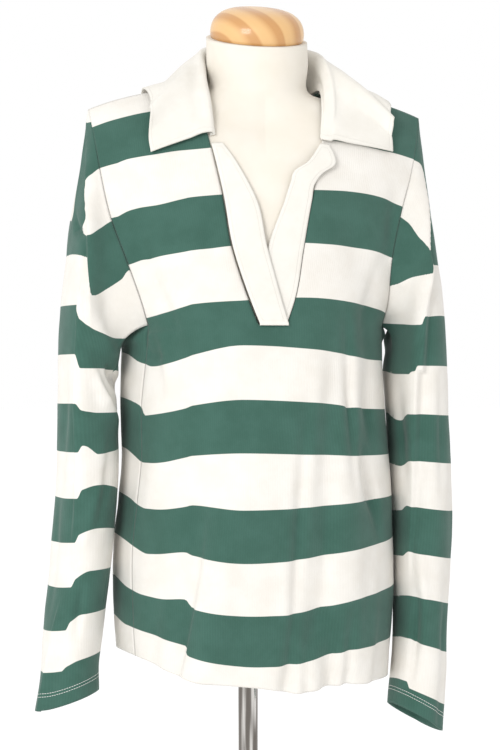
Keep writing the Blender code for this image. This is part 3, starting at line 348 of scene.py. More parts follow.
BACK_CREASES = [Crease(*row) for row in (
    (-0.06, 1.26, -0.08, 0.83, 0.012, 0.01, 0.016, 0, -0.0036, -0.003),
    (-0.02, 1.18, -0.01, 0.826, -0.008, 0.014, 0.009, 0, 0.0034, 0.0042),
    (0.03, 1.29, 0.01, 0.9, 0.01, 0.012, 0.014, 0, -0.003, 0),
    (0.08, 1.2, 0.095, 0.826, -0.006, 0.009, 0.013, 0, -0.0034, -0.0036),
    (0.12, 1.12, 0.118, 0.83, 0.004, 0.01, 0.01, 0, 0.0028, 0.0032),
    (-0.12, 1.15, -0.116, 0.83, -0.005, 0.011, 0.008, 0, -0.0028, -0.0026),
    (-0.142, 1.2, -0.08, 1.17, 0.006, 0.007, 0.009, 0.003, 0.0022, 0),
    (0.142, 1.205, 0.07, 1.16, -0.008, 0.008, 0.007, 0.0028, 0.0022, 0),
    (-0.15, 1.33, -0.1, 1.23, 0.005, 0.01, 0.008, 0, -0.0028, 0),
    (0.15, 1.34, 0.105, 1.22, -0.006, 0.009, 0.011, 0, -0.0028, 0),
    (-0.07, 1.42, -0.02, 1.33, 0.004, 0.012, 0.016, 0, -0.0014, 0),
    (0.075, 1.425, 0.04, 1.31, -0.004, 0.014, 0.012, 0, -0.0014, 0),
)]
# On a sleeve the first coordinate is the distance round it from the outer side, plus to the back
AT_LEFT_CREASES = [Crease(*row) for row in (
    (-0.068, 1.4, -0.068, 1.24, 0, 0.02, 0.0026, 0.001, 0.007, 0.007),
    (-0.056, 1.235, -0.05, 1.01, 0.003, 0.016, 0.0028, 0.006, 0.007, 0.002),
    (-0.05, 1.26, -0.125, 1.17, 0.01, 0.014, 0.016, 0, 0.0058, 0.003),
    (-0.095, 1.172, -0.128, 1.15, 0.002, 0.005, 0.007, -0.001, -0.007, -0.005),
    (-0.078, 1.16, -0.116, 1.115, 0.004, 0.005, 0.01, 0.002, 0.0042, 0.002),
    (-0.02, 1.33, -0.048, 1.312, 0.003, 0.006, 0.005, -0.001, -0.0044, -0.003),
    (-0.04, 0.93, -0.026, 0.82, 0.002, 0.01, 0.0026, 0, 0.0038, 0.0048),
    (-0.07, 0.95, -0.072, 0.88, 0.002, 0.006, 0.009, 0, -0.0034, 0),
    (-0.03, 1.21, -0.02, 1.02, 0.003, 0.008, 0.01, 0, -0.0028, 0),
    (-0.1, 1.11, -0.08, 1, -0.005, 0.009, 0.008, 0, -0.0026, 0),
    (-0.09, 1.06, -0.06, 0.96, 0.004, 0.01, 0.008, 0, 0.0026, 0),
    (-0.01, 1.06, -0.018, 0.9, -0.003, 0.008, 0.008, 0, -0.0026, 0),
    (0.03, 1.3, 0.06, 1.12, 0.006, 0.01, 0.012, 0, -0.0036, 0),
    (0.09, 1.25, 0.05, 1.08, -0.006, 0.01, 0.008, 0, 0.0034, 0),
    (0.11, 1.19, 0.03, 1.13, 0.006, 0.008, 0.008, 0.003, -0.003, 0),
    (0.02, 1.06, 0.05, 0.9, 0.004, 0.009, 0.01, 0, -0.003, 0),
    (0.07, 1, 0.05, 0.83, -0.004, 0.008, 0.009, 0, 0.0026, 0.0024),
)]
AT_RIGHT_CREASES = [Crease(*row) for row in (
    (-0.079, 1.39, -0.079, 1.26, 0, 0.022, 0.0026, 0.001, 0.007, 0.007),
    (-0.08, 1.262, -0.106, 0.965, 0.003, 0.018, 0.003, 0.007, 0.006, 0.0015),
    (-0.12, 1.36, -0.14, 1.25, 0.004, 0.01, 0.012, 0, -0.0044, -0.001),
    (-0.15, 1.27, -0.1, 1.262, -0.004, 0.006, 0.008, 0, 0.0034, 0),
    (-0.06, 1.33, -0.075, 1.318, 0.002, 0.006, 0.005, 0, -0.0036, 0),
    (-0.118, 1.16, -0.1, 1.02, -0.003, 0.008, 0.01, 0, -0.0032, 0),
    (-0.05, 1.18, -0.058, 1.01, 0.003, 0.008, 0.01, 0, -0.0024, 0),
    (-0.1, 1, -0.08, 0.88, 0.003, 0.009, 0.009, 0, 0.003, 0.001),
    (-0.092, 0.93, -0.098, 0.84, -0.002, 0.006, 0.008, 0, -0.0038, -0.002),
    (-0.045, 0.96, -0.04, 0.81, 0.003, 0.01, 0.01, 0, -0.0026, -0.0016),
    (-0.015, 1.12, -0.02, 0.9, 0.004, 0.01, 0.012, 0, 0.002, 0),
    (0.03, 1.31, 0.055, 1.13, -0.005, 0.012, 0.01, 0, -0.0034, 0),
    (0.085, 1.24, 0.055, 1.06, 0.006, 0.009, 0.01, 0, 0.0032, 0),
    (0.12, 1.2, 0.04, 1.14, -0.006, 0.008, 0.008, 0.003, -0.0028, 0),
    (0.02, 1.04, 0.045, 0.88, -0.004, 0.01, 0.009, 0, -0.003, 0),
    (0.075, 0.98, 0.055, 0.82, 0.004, 0.009, 0.008, 0, 0.0026, 0.0022),
)]
# Every crease is this much deeper than its row says
CREASE_SHARE = 1.6
# Soft waves all over the cloth: the size of a wave and how far it moves
WAVES = [(0.060, 0.0012), (0.026, 0.0005)]

# Sewing: a stitch, and how far the rows of stitches lie from the edge of a cuff and of the cotton
STITCH_PITCH = 0.0028
STITCH_LENGTH = 0.0022
STITCH_RADIUS = 0.00028
CUFF_ROWS = (0.0150, 0.0185)
EDGE_STITCH_INSET = 0.0045

# Seams: how far a panel draws back from them, and how near to them its creases fade
SEAM_GAP = 0.00018
SEAM_FADE = 0.012
# Beside the slit the cloth lies flat: from what level, over what height, and how far to each side
SLIT_QUIET = 1.195
SLIT_OPENS_OVER = 0.03
SLIT_FADE = 0.020
# Sizes along the cloth: half the front, a sleeve's mean radius, the collar and the placket
BODY_HALF_WIDTH = 0.235
SLEEVE_MEAN_RADIUS = 0.045
COLLAR_LENGTH = 0.420
PLACKET_LENGTH = 0.200
# A turn this near to 0 or to a whole one, in radians, stays on its own side of the sleeve's seam
SEAM_TURN = 0.3
# The collar is thicker than the shirt. It ripples along its edge, and both it and the placket swell.
COLLAR_CLOTH = 0.0020
COLLAR_RIPPLES = 9
COLLAR_RIPPLE = 0.0008
COLLAR_SWELL = 0.0006
PLACKET_CROWN = 0.0006
PLACKET_CROWN_REACH = 0.004

# Colours
GREEN_DEEP = (0.029, 0.094, 0.069, 1)
GREEN_LIGHT = (0.039, 0.113, 0.086, 1)
GREEN_FLECK = (0.085, 0.145, 0.125, 1)
GREEN_DARK = (0.022, 0.054, 0.043, 1)
WHITE_WARM = (0.700, 0.668, 0.615, 1)
WHITE_CLEAR = (0.735, 0.710, 0.665, 1)
WHITE_SHADE = (0.580, 0.545, 0.495, 1)
SEAM_SHADE = (0.200, 0.215, 0.200, 1)
COTTON_WARM = (0.725, 0.698, 0.640, 1)
COTTON_CLEAR = (0.755, 0.732, 0.680, 1)
COTTON_SHADE = (0.610, 0.585, 0.530, 1)
COVER_WARM = (0.740, 0.690, 0.605, 1)
COVER_CLEAR = (0.765, 0.720, 0.645, 1)
COVER_SHADE = (0.700, 0.650, 0.560, 1)
PINE_LIGHT = (0.700, 0.430, 0.180, 1)
PINE_DARK = (0.520, 0.260, 0.085, 1)
PINE_FIBRE = (0.560, 0.320, 0.130, 1)
# Painted reflection on the tube: the colours of its light and dark bands
REFLECTION_BAND_LIGHT = (0.660, 0.640, 0.610, 1)
REFLECTION_BAND_DARK = (0.160, 0.145, 0.130, 1)

# Patterns: how far apart the wales, courses, ribs and threads lie, and the rings of the wood
WALE_PITCH = 0.0011
COURSE_PITCH = 0.0012
RIB_PITCH = 0.0032
TWILL_PITCH = 0.0012
COVER_PITCH = 0.0009
GRAIN_PITCH = 0.021
GRAIN_BEND = 0.024
GRAIN_CENTRE = (-0.075, 0.02, 1.470)

# Studio: how far the floor reaches, the surroundings, and the lights by name, place, aim, size and power
FLOOR_REACH = 60.0
SURROUND = (1.0, 1.0, 1.0, 1)
LIGHTS = [
    ("key", (-1.9, -2.6, 2.1), (0.0, -0.05, 1.15), (1.2, 1.4), 52.0),
]


def curve_with(tangents, knots, values, at):
    """Values on the curve that goes through the knots with the given tangents."""
    at = np.clip(at, knots[0], knots[-1])
    index = np.clip(np.searchsorted(knots, at, side="right") - 1, 0, len(knots) - 2)
    wide = at.shape + (1,) * (values.ndim - 1)
    step = np.diff(knots)[index].reshape(wide)
    t = (at - knots[index]).reshape(wide) / step
    low = (2 * t**3 - 3 * t**2 + 1) * values[index] + (t**3 - 2 * t**2 + t) * step * tangents[index]
    high = (3 * t**2 - 2 * t**3) * values[index + 1] + (t**3 - t**2) * step * tangents[index + 1]
    return low + high


def smooth(knots, values, at):
    """Values on a smooth curve through the knots, for numbers or rows of numbers."""
    knots, values, at = (np.asarray(part, float) for part in (knots, values, at))
    steps = np.diff(knots)[(slice(None),) + (None,) * (values.ndim - 1)]
    slopes = np.diff(values, axis=0) / steps
    inner = (slopes[:-1] * steps[1:] + slopes[1:] * steps[:-1]) / (steps[1:] + steps[:-1])
    return curve_with(np.concatenate([slopes[:1], inner, slopes[-1:]]), knots, values, at)


def eased(knots, values, at):
    """Values on a curve through the knots that never swings past them."""
    knots, values, at = (np.asarray(part, float) for part in (knots, values, at))
    slopes = np.diff(values) / np.diff(knots)
    product = slopes[:-1] * slopes[1:]
    inner = np.where(product > 0, 2 * product / np.where(product > 0, slopes[:-1] + slopes[1:], 1), 0)
    return curve_with(np.concatenate([slopes[:1], inner, slopes[-1:]]), knots, values, at)


def read(table, key, name, at):
    """One named column of a table, read at a value of its key column."""
    return smooth([getattr(row, key) for row in table], [getattr(row, name) for row in table], at)


def lengths_along(points):
    """Distance along a line of points, from 0 at the first."""
    return np.concatenate([[0], np.cumsum(np.linalg.norm(np.diff(points, axis=0), axis=1))])


def unit(vectors):
    """Vectors of length 1."""
    return vectors / np.maximum(np.linalg.norm(vectors, axis=-1, keepdims=True), 1e-12)


def hem_rise(angle, level):
    """How much higher than its level the cloth lies, near the hem."""
    share = np.clip(1 - (level - HEM) / HEM_RISE_REACH, 0, 1)
    return read(HEM_RISES, "angle", "rise", angle) * share**2


def ring_edge(level, angle):
    """The x and y of a point of the body ring, by its angle from the middle of the front."""
    front = read(BODY_RINGS, "height", "front_y", level)
    back = read(BODY_RINGS, "height", "back_y", level)
    half_width = read(BODY_RINGS, "height", "half_width", level)
    turn = np.radians(angle)
    x = read(BODY_RINGS, "height", "x_mid", level) + half_width * np.sin(turn)
    y = (front + back) / 2 - (back - front) / 2 * np.cos(turn)
    return x, y


def panel_edge(level, seam_angle, from_back, armhole):
    """The edge of a panel at a level: x, y, z and wrap."""
    foot_angle = float(seam_angle(UNDERARM))
    foot_x, foot_y = ring_edge(UNDERARM, foot_angle)
    foot_wrap = 180 - abs(foot_angle) if from_back else abs(foot_angle)
    places = np.array([(foot_x, foot_y, UNDERARM, foot_wrap)] + [tuple(edge) for edge in armhole])
    share = lengths_along(places[:, :3])
    above = smooth(share / share[-1], places, (level - UNDERARM) / (NECK_LEVEL - UNDERARM))
    angle = seam_angle(level)
    x, y = ring_edge(level, angle)
    wrap = 180 - np.abs(angle) if from_back else np.abs(angle)
    below = np.stack([x, y, level, wrap], axis=-1)
    return np.where((level < UNDERARM)[..., None], below, above)


def left_seam(level):
    """The angle of the side seam at the viewer's left."""
    return -read(BODY_RINGS, "height", "left_seam", level)


def right_seam(level):
    """The angle of the side seam at the viewer's right."""
    return read(BODY_RINGS, "height", "right_seam", level)


def fold_height(folds, x, z):
    """How far the folds of a panel lift the cloth at x and z."""
    total = np.zeros_like(x)
    for fold in folds:
        start = np.array([fold.x_top, fold.z_top])
        line = np.array([fold.x_foot, fold.z_foot]) - start
        away = np.stack([x, z], axis=-1) - start
        share = np.clip((away @ line) / (line @ line), 0, 1)
        distance = np.linalg.norm(away - share[..., None] * line, axis=-1)
        total += fold.height * np.exp(-(distance / fold.width) ** 2)
    return total


def panel(s, level, from_back=False):
    """Points of the front, or of the back, at s from -1 to 1 across and at a level of the cloth."""
    s, level = np.broadcast_arrays(np.asarray(s, float), np.asarray(level, float))
    left_armhole = ARMHOLE_LEFT_BACK if from_back else ARMHOLE_LEFT_FRONT
    right_armhole = ARMHOLE_RIGHT_BACK if from_back else ARMHOLE_RIGHT_FRONT
    left = panel_edge(level, left_seam, from_back, left_armhole)
    right = panel_edge(level, right_seam, from_back, right_armhole)
    edge = np.where((s < 0)[..., None], left, right)
    middle = BACK_MIDDLE if from_back else FRONT_MIDDLE
    ring_y = "back_y" if from_back else "front_y"
    lower = level < UNDERARM
    x_mid = np.where(lower, read(BODY_RINGS, "height", "x_mid", level),
                     BODY_RINGS[-1].x_mid * np.clip(1 - (level - UNDERARM) / MIDDLE_FADE, 0, 1))
    y_mid = np.where(lower, read(BODY_RINGS, "height", ring_y, level), read(middle, "level", "y", level))
    z_mid = np.where(lower, level, read(middle, "level", "z", level))
    wrap = np.radians(edge[..., 3])
    turn = np.abs(s) * wrap
    x = x_mid + (edge[..., 0] - x_mid) * np.sin(turn) / np.sin(wrap)
    y = y_mid + (edge[..., 1] - y_mid) * (1 - np.cos(turn)) / (1 - np.cos(wrap))
    z = z_mid + (edge[..., 2] - z_mid) * s**2
    angle = np.sign(s) * np.degrees(turn)
    if from_back:
        angle = np.sign(s) * 180 - angle
    folds = BACK_FOLDS if from_back else FRONT_FOLDS
    seam_fade = np.clip((1 - np.abs(s)) / FOLD_SEAM_FADE, 0, 1)
    height = fold_height(folds, x, z) * seam_fade * np.clip((FOLD_TOP - level) / FOLD_TOP_FADE, 0, 1)
    outward = np.stack([np.sin(turn) * np.sign(s), np.cos(turn) * (1 if from_back else -1)], axis=-1)
    x = x + height * outward[..., 0]
    y = y + height * outward[..., 1]
    return np.stack([x, y, z + hem_rise(angle, level)], axis=-1)


def across_at(x, level, from_back=False):
    """The s of a panel at which its cloth has the given x."""
    x, level = np.broadcast_arrays(np.asarray(x, float), np.asarray(level, float))
    low = np.full(x.shape, -1.0)
    high = np.full(x.shape, 1.0)
    for _ in range(30):
        middle = (low + high) / 2
        beyond = panel(middle, level, from_back)[..., 0] > x
        high = np.where(beyond, middle, high)
        low = np.where(beyond, low, middle)
    return (low + high) / 2


def panel_normal(s, level, from_back=False):
    """The outward direction of a panel."""
    step = 0.01
    right = panel(np.minimum(s + step, 1), level, from_back)
    across = right - panel(np.maximum(s - step, -1), level, from_back)
    rise = 0.002
    up = panel(s, level + rise, from_back) - panel(s, level - rise, from_back)
    normal = unit(np.cross(across, up))
    return -normal if from_back else normal


def levels():
    """Levels of the rows of the body, from the hem to the shoulder seams."""
    lower = np.linspace(HEM, UNDERARM, LOWER_ROWS + 1)
    upper = np.linspace(UNDERARM, NECK_LEVEL, UPPER_ROWS + 1)[1:]
    return lower, upper


def armhole_loop(side):
    """Points of an armhole, from the underarm up the front to the tip and down the back."""
    lower, upper = levels()
    rows = np.concatenate([lower[-1:], upper])
    front = panel(np.full(len(rows), side), rows)
    back = panel(np.full(len(rows), side), rows, True)
    return front, np.concatenate([front, back[-2:0:-1]])


def sleeve_ring(rings, side, height, turn):
    """Points of a sleeve ring. The turn starts at the side by the body and goes by the front."""
    inner = read(rings[::-1], "height", "inner", height)
    outer = read(rings[::-1], "height", "outer", height)
    x = side * ((inner + outer) / 2 - (outer - inner) / 2 * np.cos(turn)) - SLEEVE_LEAN[side]
    half_depth = read(rings[::-1], "height", "half_depth", height)
    y = read(rings[::-1], "height", "y_mid", height) - half_depth * np.sin(turn)
    fall = read(rings[::-1], "height", "outer_drop", height) * (0.5 - 0.5 * np.cos(turn))
    fall = fall + read(rings[::-1], "height", "back_drop", height) * (0.5 - 0.5 * np.sin(turn))
    return np.stack([x, y, height - fall], axis=-1)


def sleeve_grid(side):
    """A sleeve from the armhole to the cuff, closed round: its points, turns and heights."""
    rings = SLEEVE_LEFT_RINGS if side < 0 else SLEEVE_RIGHT_RINGS
    shift = LEFT_LOOP_SHIFT if side < 0 else RIGHT_LOOP_SHIFT
    front, loop = armhole_loop(side)
    closed = np.concatenate([loop, loop[:1]])
    distance = lengths_along(closed)
    total = distance[-1]
    tip = distance[len(front) - 1]
    place = np.where(distance[:-1] > total - shift, distance[:-1] - total, distance[:-1])
    turn = np.where(place <= tip, pi * (place + shift) / (tip + shift),
                    pi + pi * (place - tip) / (total - shift - tip))
    top_ring = sleeve_ring(rings, side, np.full(len(turn), rings[0].height), turn)
    reach = np.linalg.norm(top_ring - loop, axis=1, keepdims=True)
    under = (0.5 + 0.5 * np.cos(turn))[:, None] ** 2
    over = (0.5 - 0.5 * np.cos(turn))[:, None] ** 2
    face = 1 - under - over
    sideways = LEAVE_OVER.sideways * over + LEAVE_FACE.sideways * face + LEAVE_UNDER.sideways * under
    up = LEAVE_OVER.up * over + LEAVE_FACE.up * face + LEAVE_UNDER.up * under
    swell = -FACE_SWELL * np.sin(turn)[:, None] * face
    leave = np.concatenate([side * sideways, swell, up], axis=1) * reach
    arrive = np.concatenate([np.zeros_like(reach), np.zeros_like(reach), -reach], axis=1)
    rows = []
    heights = [np.nan] * (SLEEVE_HEAD_ROWS + 1)
    for t in np.linspace(0, 1, SLEEVE_HEAD_ROWS + 1):
        rows.append((2 * t**3 - 3 * t**2 + 1) * loop + (t**3 - 2 * t**2 + t) * leave
                    + (3 * t**2 - 2 * t**3) * top_ring + (t**3 - t**2) * arrive)
    for height in np.linspace(rings[0].height, rings[-1].height, SLEEVE_TUBE_ROWS + 1)[1:]:
        rows.append(sleeve_ring(rings, side, np.full(len(turn), height), turn))
        heights.append(height)
    grid = np.array(rows)
    grid = np.concatenate([grid, grid[:, :1]], axis=1)
    turn = np.append(turn, 2 * pi)
    if side > 0:
        grid, turn = grid[:, ::-1], turn[::-1]
    return grid, turn[None, :], np.array(heights)[:, None]


def neckline_point(share):
    """A point of the neckline, from the front at the viewer's left round the back to the right."""
    places = []
    for level in NECKLINE_LEVELS:
        places.append(panel(across_at(read(SLIT_EDGES, "level", "left", level), level), level))
    for x in np.linspace(SLIT_EDGES[-1].left, SLIT_EDGES[-1].right, NECK_COLUMNS + 1):
        level = NECK_LEVEL - neck_drop(x)
        places.append(panel(across_at(x, level, True), level, True))
    for level in reversed(NECKLINE_LEVELS):
        places.append(panel(across_at(read(SLIT_EDGES, "level", "right", level), level), level))
    places = np.array(places)
    distance = lengths_along(places)
    return smooth(distance / distance[-1], places, share)


def collar_outer(station):
    """The outer edge of the collar at a station, made from the panel that it lies on."""
    from_back = station.outer_level < 0
    level = np.array(abs(station.outer_level))
    s = across_at(station.outer_x, level, from_back)
    return panel(s, level, from_back) + panel_normal(s, level, from_back) * station.lift


def neck_drop(x):
    """How far the back neckline lies below the line of the shoulder seams, in levels."""
    middle = (SLIT_EDGES[-1].left + SLIT_EDGES[-1].right) / 2
    half_width = (SLIT_EDGES[-1].right - SLIT_EDGES[-1].left) / 2
    return BACK_NECK_DROP * np.sqrt(np.clip(1 - ((x - middle) / half_width) ** 2, 0, 1))


def shoulder_samples():
    """Points and outward directions all over the cloth of the upper front and back."""
    s = np.linspace(-1, 1, SAMPLE_COLUMNS)[None, :]
    level = np.linspace(SAMPLE_LEVEL, NECK_LEVEL, SAMPLE_ROWS)[:, None]
    s, level = (grid.ravel() for grid in np.broadcast_arrays(s, level))
    front = panel(s, level)
    x = front[:, 0]
    cloth = (x < read(SLIT_EDGES, "level", "left", level)) | (x > read(SLIT_EDGES, "level", "right", level))
    back = panel(s, level, True)
    below = level < NECK_LEVEL - neck_drop(back[:, 0])
    return (np.concatenate([front[cloth], back[below]]),
            np.concatenate([panel_normal(s, level)[cloth], panel_normal(s, level, True)[below]]))


def nearest_cloth(points, samples):
    """The distance of points outside the cloth, its outward direction there, and how far it is."""
    surface, normals = samples
    span = ((points[:, None] - surface[None]) ** 2).sum(axis=2)
    nearest = np.argmin(span, axis=1)
    distance = ((points - surface[nearest]) * normals[nearest]).sum(axis=1)
    return distance, normals[nearest], np.sqrt(span.min(axis=1))


def lifted_clear(points, samples, lift):
    """Points moved out where they lie too near the front or the back."""
    distance, outward, _ = nearest_cloth(points, samples)
    return points + outward * np.maximum(0, lift - distance)[:, None]


def inward_move(points, samples):
    """The way in for points that lie too near the inner side of the cloth, or past it."""
    distance, outward, span = nearest_cloth(points.reshape(-1, 3), samples)
    excess = np.maximum(0, distance + CLOTH + FORM_CLEARANCE)
    move = -outward * np.where(span < FORM_CLOTH_REACH, excess, 0)[:, None]
    return move.reshape(points.shape)


def drawn_in(rings, samples):
    """Rings moved in where they, or the middles of their edges, lie too near the cloth."""
    for _ in range(SETTLE_ROUNDS):
        moves = [inward_move(rings, samples)]
        for up, along in ((0, 1), (1, 0), (1, 1), (1, -1)):
            partner = np.roll(rings, (-up, -along), axis=(0, 1))
            move = inward_move((rings + partner) / 2, samples)
            move[len(rings) - up:] = 0
            moves += [move, np.roll(move, (up, along), axis=(0, 1))]
        moves = np.stack(moves)
        longest = np.argmax(np.linalg.norm(moves, axis=-1), axis=0)
        rings = rings + np.take_along_axis(moves, longest[None, ..., None], axis=0)[0]
    return rings


def collar_grid():
    """The collar: up the stand, over the roll and down the fall, station by station."""
    knots = np.linspace(0, 1, len(COLLAR))
    at = np.linspace(0, 1, COLLAR_STATIONS + 1)
    roll = smooth(knots, [(row.roll_x, row.roll_y, row.roll_z) for row in COLLAR], at)
    outer = smooth(knots, [collar_outer(row) for row in COLLAR], at)
    samples = shoulder_samples()
    bulge = smooth(knots, [row.fall_bulge for row in COLLAR], at)[:, None]
    lift = smooth(knots, [row.lift for row in COLLAR], at)
    seam = neckline_point(at)
    outward = unit((outer - roll) * [1, 1, 0])
    up = unit(roll - seam)
    seam = seam - outward * COLLAR_SEAM_SHIFT
    inside = roll - outward * ROLL_HALF_WIDTH - up * ROLL_DROP
    outside = roll + outward * ROLL_HALF_WIDTH - up * ROLL_DROP
    columns = [seam, (seam + inside) / 2, inside, roll]
    for share in FALL_SHARES:
        point = outside + (outer - outside) * share
        point[:, 2:] += bulge * sin(pi * share)
        columns.append(lifted_clear(point, samples, lift))
    return np.stack(columns, axis=1)


def strip_grid(strips, slit_edge, inward):
    """A placket strip: rows across the slit, made from the front's own points, moved out."""
    rows = np.linspace(strips[0].level, strips[-1].level, PLACKET_ROWS + 1)
    outer = read(SLIT_EDGES, "level", slit_edge, rows)
    outer = outer + inward * (PLACKET_GAP - read(strips, "level", "turned_out", rows))
    width = inward * read(strips, "level", "width", rows)
    lift = read(strips, "level", "lift", rows)[:, None, None]
    x = outer[:, None] + width[:, None] * np.linspace(0, 1, PLACKET_COLUMNS + 1)[None, :]
    x = np.sort(x, axis=1)
    level = np.broadcast_to(rows[:, None], x.shape)
    s = across_at(x, level)
    return panel(s, level) + panel_normal(s, level) * lift


def band_at(edges, first, at, height):
    """Number of the stripe at places on the cloth. It is green up to 0.5 above each whole number."""
    lines = [eased(*zip(*row), at) for row in edges]
    for number in range(1, len(lines)):
        lines[number] = np.maximum(lines[number], lines[number - 1] + STRIPE_LEAST)
    lines = np.stack(lines)
    steps = np.diff(lines, axis=0)
    inside = np.clip((height - lines[:-1]) / steps, 0, 1).sum(axis=0) / 2
    below = np.minimum(height - lines[0], 0) / STRIPE_PERIOD
    above = np.maximum(height - lines[-1], 0) / STRIPE_PERIOD
    return first + inside + below + above


def crease_height(creases, a, z):
    """How far the creases of a panel lift the cloth."""
    total = np.zeros_like(a)
    for crease in creases:
        start = np.array([crease.a_top, crease.z_top])
        line = np.array([crease.a_foot, crease.z_foot]) - start
        length = np.linalg.norm(line)
        along = line / length
        aside = np.array([-along[1], along[0]])
        share = ((a - start[0]) * along[0] + (z - start[1]) * along[1]) / length
        inside = np.clip(share, 0, 1)
        distance = (a - start[0]) * aside[0] + (z - start[1]) * aside[1]
        distance = distance - crease.bow * 4 * inside * (1 - inside)
        width = np.where(distance < 0, crease.wide, crease.lee)
        beyond = np.maximum(np.maximum(-share, share - 1), 0) * length
        profile = np.exp(-(distance / width) ** 2 - (beyond / (crease.wide + crease.lee)) ** 2)
        rise = np.interp(inside, [0, 0.5, 1], [crease.top, crease.middle, crease.foot])
        total += rise * profile
    return total * CREASE_SHARE


def waves(points):
    """Small soft waves all over the cloth."""
    moves = np.zeros(len(points))
    for size, height in WAVES:
        moves += [noise.noise(Vector(point) / size) * height for point in points]
    return moves


def grid_quads(rows, columns):
    """Corner numbers of the quads of a grid laid row by row."""
    numbers = np.arange(rows * columns).reshape(rows, columns)
    corners = [numbers[:-1, :-1], numbers[:-1, 1:], numbers[1:, 1:], numbers[1:, :-1]]
    return np.stack(corners, axis=-1).reshape(-1, 4)


def joined(grids):
    """Grids welded into one surface: its points, its quads, and the quads before welding."""
    flat = np.concatenate([grid.reshape(-1, 3) for grid in grids])
    keys = np.round(flat / WELD).astype(np.int64)
    _, first, index = np.unique(keys, axis=0, return_index=True, return_inverse=True)
    index = index.ravel()
    loose = []
    start = 0
    for grid in grids:
        rows, columns = grid.shape[:2]
        loose.append(grid_quads(rows, columns) + start)
        start += rows * columns
    loose = np.concatenate(loose)
    return flat[first], index, index[loose], loose


def quad_products(points, quads):
    """The outward direction of each quad, twice as long as its area."""
    return np.cross(points[quads[:, 2]] - points[quads[:, 0]], points[quads[:, 3]] - points[quads[:, 1]])


def surface_normals(points, quads):
    """Outward directions of the points of a surface of quads."""
    normals = np.zeros_like(points)
    across = quad_products(points, quads)
    for corner in range(4):
        np.add.at(normals, quads[:, corner], across)
    return unit(normals)


def rim_edges(quads):
    """Edges that only one quad has, as rows of quad, corner."""
    after = np.roll(quads, -1, axis=1)
    key = np.minimum(quads, after).astype(np.int64) * (quads.max() + 1) + np.maximum(quads, after)
    _, index, count = np.unique(key.ravel(), return_inverse=True, return_counts=True)
    single = (count[index.ravel()] == 1).reshape(quads.shape) & (quads != after)
    return np.argwhere(single)


def drawn_back(points, quads, rim):
    """Points of a panel with its own edges drawn in by the gap of a seam."""
    quad, corner = rim[:, 0], rim[:, 1]
    pull = np.zeros_like(points)
    inner = points[quads[quad]].mean(axis=1)
    for edge_corner in (corner, (corner + 1) % 4):
        place = quads[quad, edge_corner]
        np.add.at(pull, place, inner - points[place])
    return points + unit(pull) * SEAM_GAP * (np.linalg.norm(pull, axis=1) > 0)[:, None]


def add_mesh(name, vertices, faces, looks):
    """An object from points and faces, smooth, with its materials."""
    mesh = bpy.data.meshes.new(name)
    mesh.from_pydata(np.asarray(vertices).tolist(), [], [list(face) for face in faces])
    mesh.shade_smooth()
    for look in looks:
        mesh.materials.append(look)
    thing = bpy.data.objects.new(name, mesh)
    bpy.context.scene.collection.objects.link(thing)
    return thing


def add_cloth(name, points, quads, corners, looks, thickness=CLOTH):
    """A thin wall of cloth with a rim. The corner rows are weave u, weave v, band, edge, tuck."""
    normals = surface_normals(points, quads)
    rim = rim_edges(quads)
    outer = drawn_back(points, quads, rim)
    count = len(points)
    quad, corner = rim[:, 0], rim[:, 1]
    following = (corner + 1) % 4
    a, b = quads[quad, corner], quads[quad, following]
    rim_faces = np.stack([b, a, a + count, b + count], axis=1)
    faces = np.concatenate([quads, quads[:, ::-1] + count, rim_faces])
    thing = add_mesh(name, np.concatenate([outer, outer - normals * thickness]), faces.tolist(), looks)
    first, second = corners[quad, corner], corners[quad, following]
    data = np.concatenate([corners, corners[:, ::-1], np.stack([second, first, first, second], axis=1)])
    data = data.reshape(-1, corners.shape[-1])
    weave = thing.data.uv_layers.new(name="weave")
    weave.data.foreach_set("uv", data[:, :2].astype(np.float32).ravel())
    for number, attribute in ((2, "band"), (3, "edge"), (4, "tuck")):
        values = thing.data.attributes.new(attribute, "FLOAT", "CORNER")
        values.data.foreach_set("value", data[:, number].astype(np.float32))
    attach(thing, "root")
    return thing


def row_lengths(grid):
    """Distance along each row of a grid, from its first column."""
    steps = np.linalg.norm(np.diff(grid, axis=1), axis=2)
    return np.concatenate([np.zeros((len(grid), 1)), np.cumsum(steps, axis=1)], axis=1)


def lifted_grids(grids, heights):
    """Grids moved out along the normals of their welded surface. Points and quads come with them."""
    points, index, quads, loose = joined(grids)
    flat_heights = np.concatenate([height.ravel() for height in heights])
    lift = np.zeros(len(points))
    lift[index] = flat_heights
    moved = points + surface_normals(points, quads) * lift[:, None]
    flat = moved[index]
    shaped = []
    start = 0
    for grid in grids:
        size = grid.shape[0] * grid.shape[1]
        shaped.append(flat[start:start + size].reshape(grid.shape))
        start += size
    return moved, quads, loose, shaped


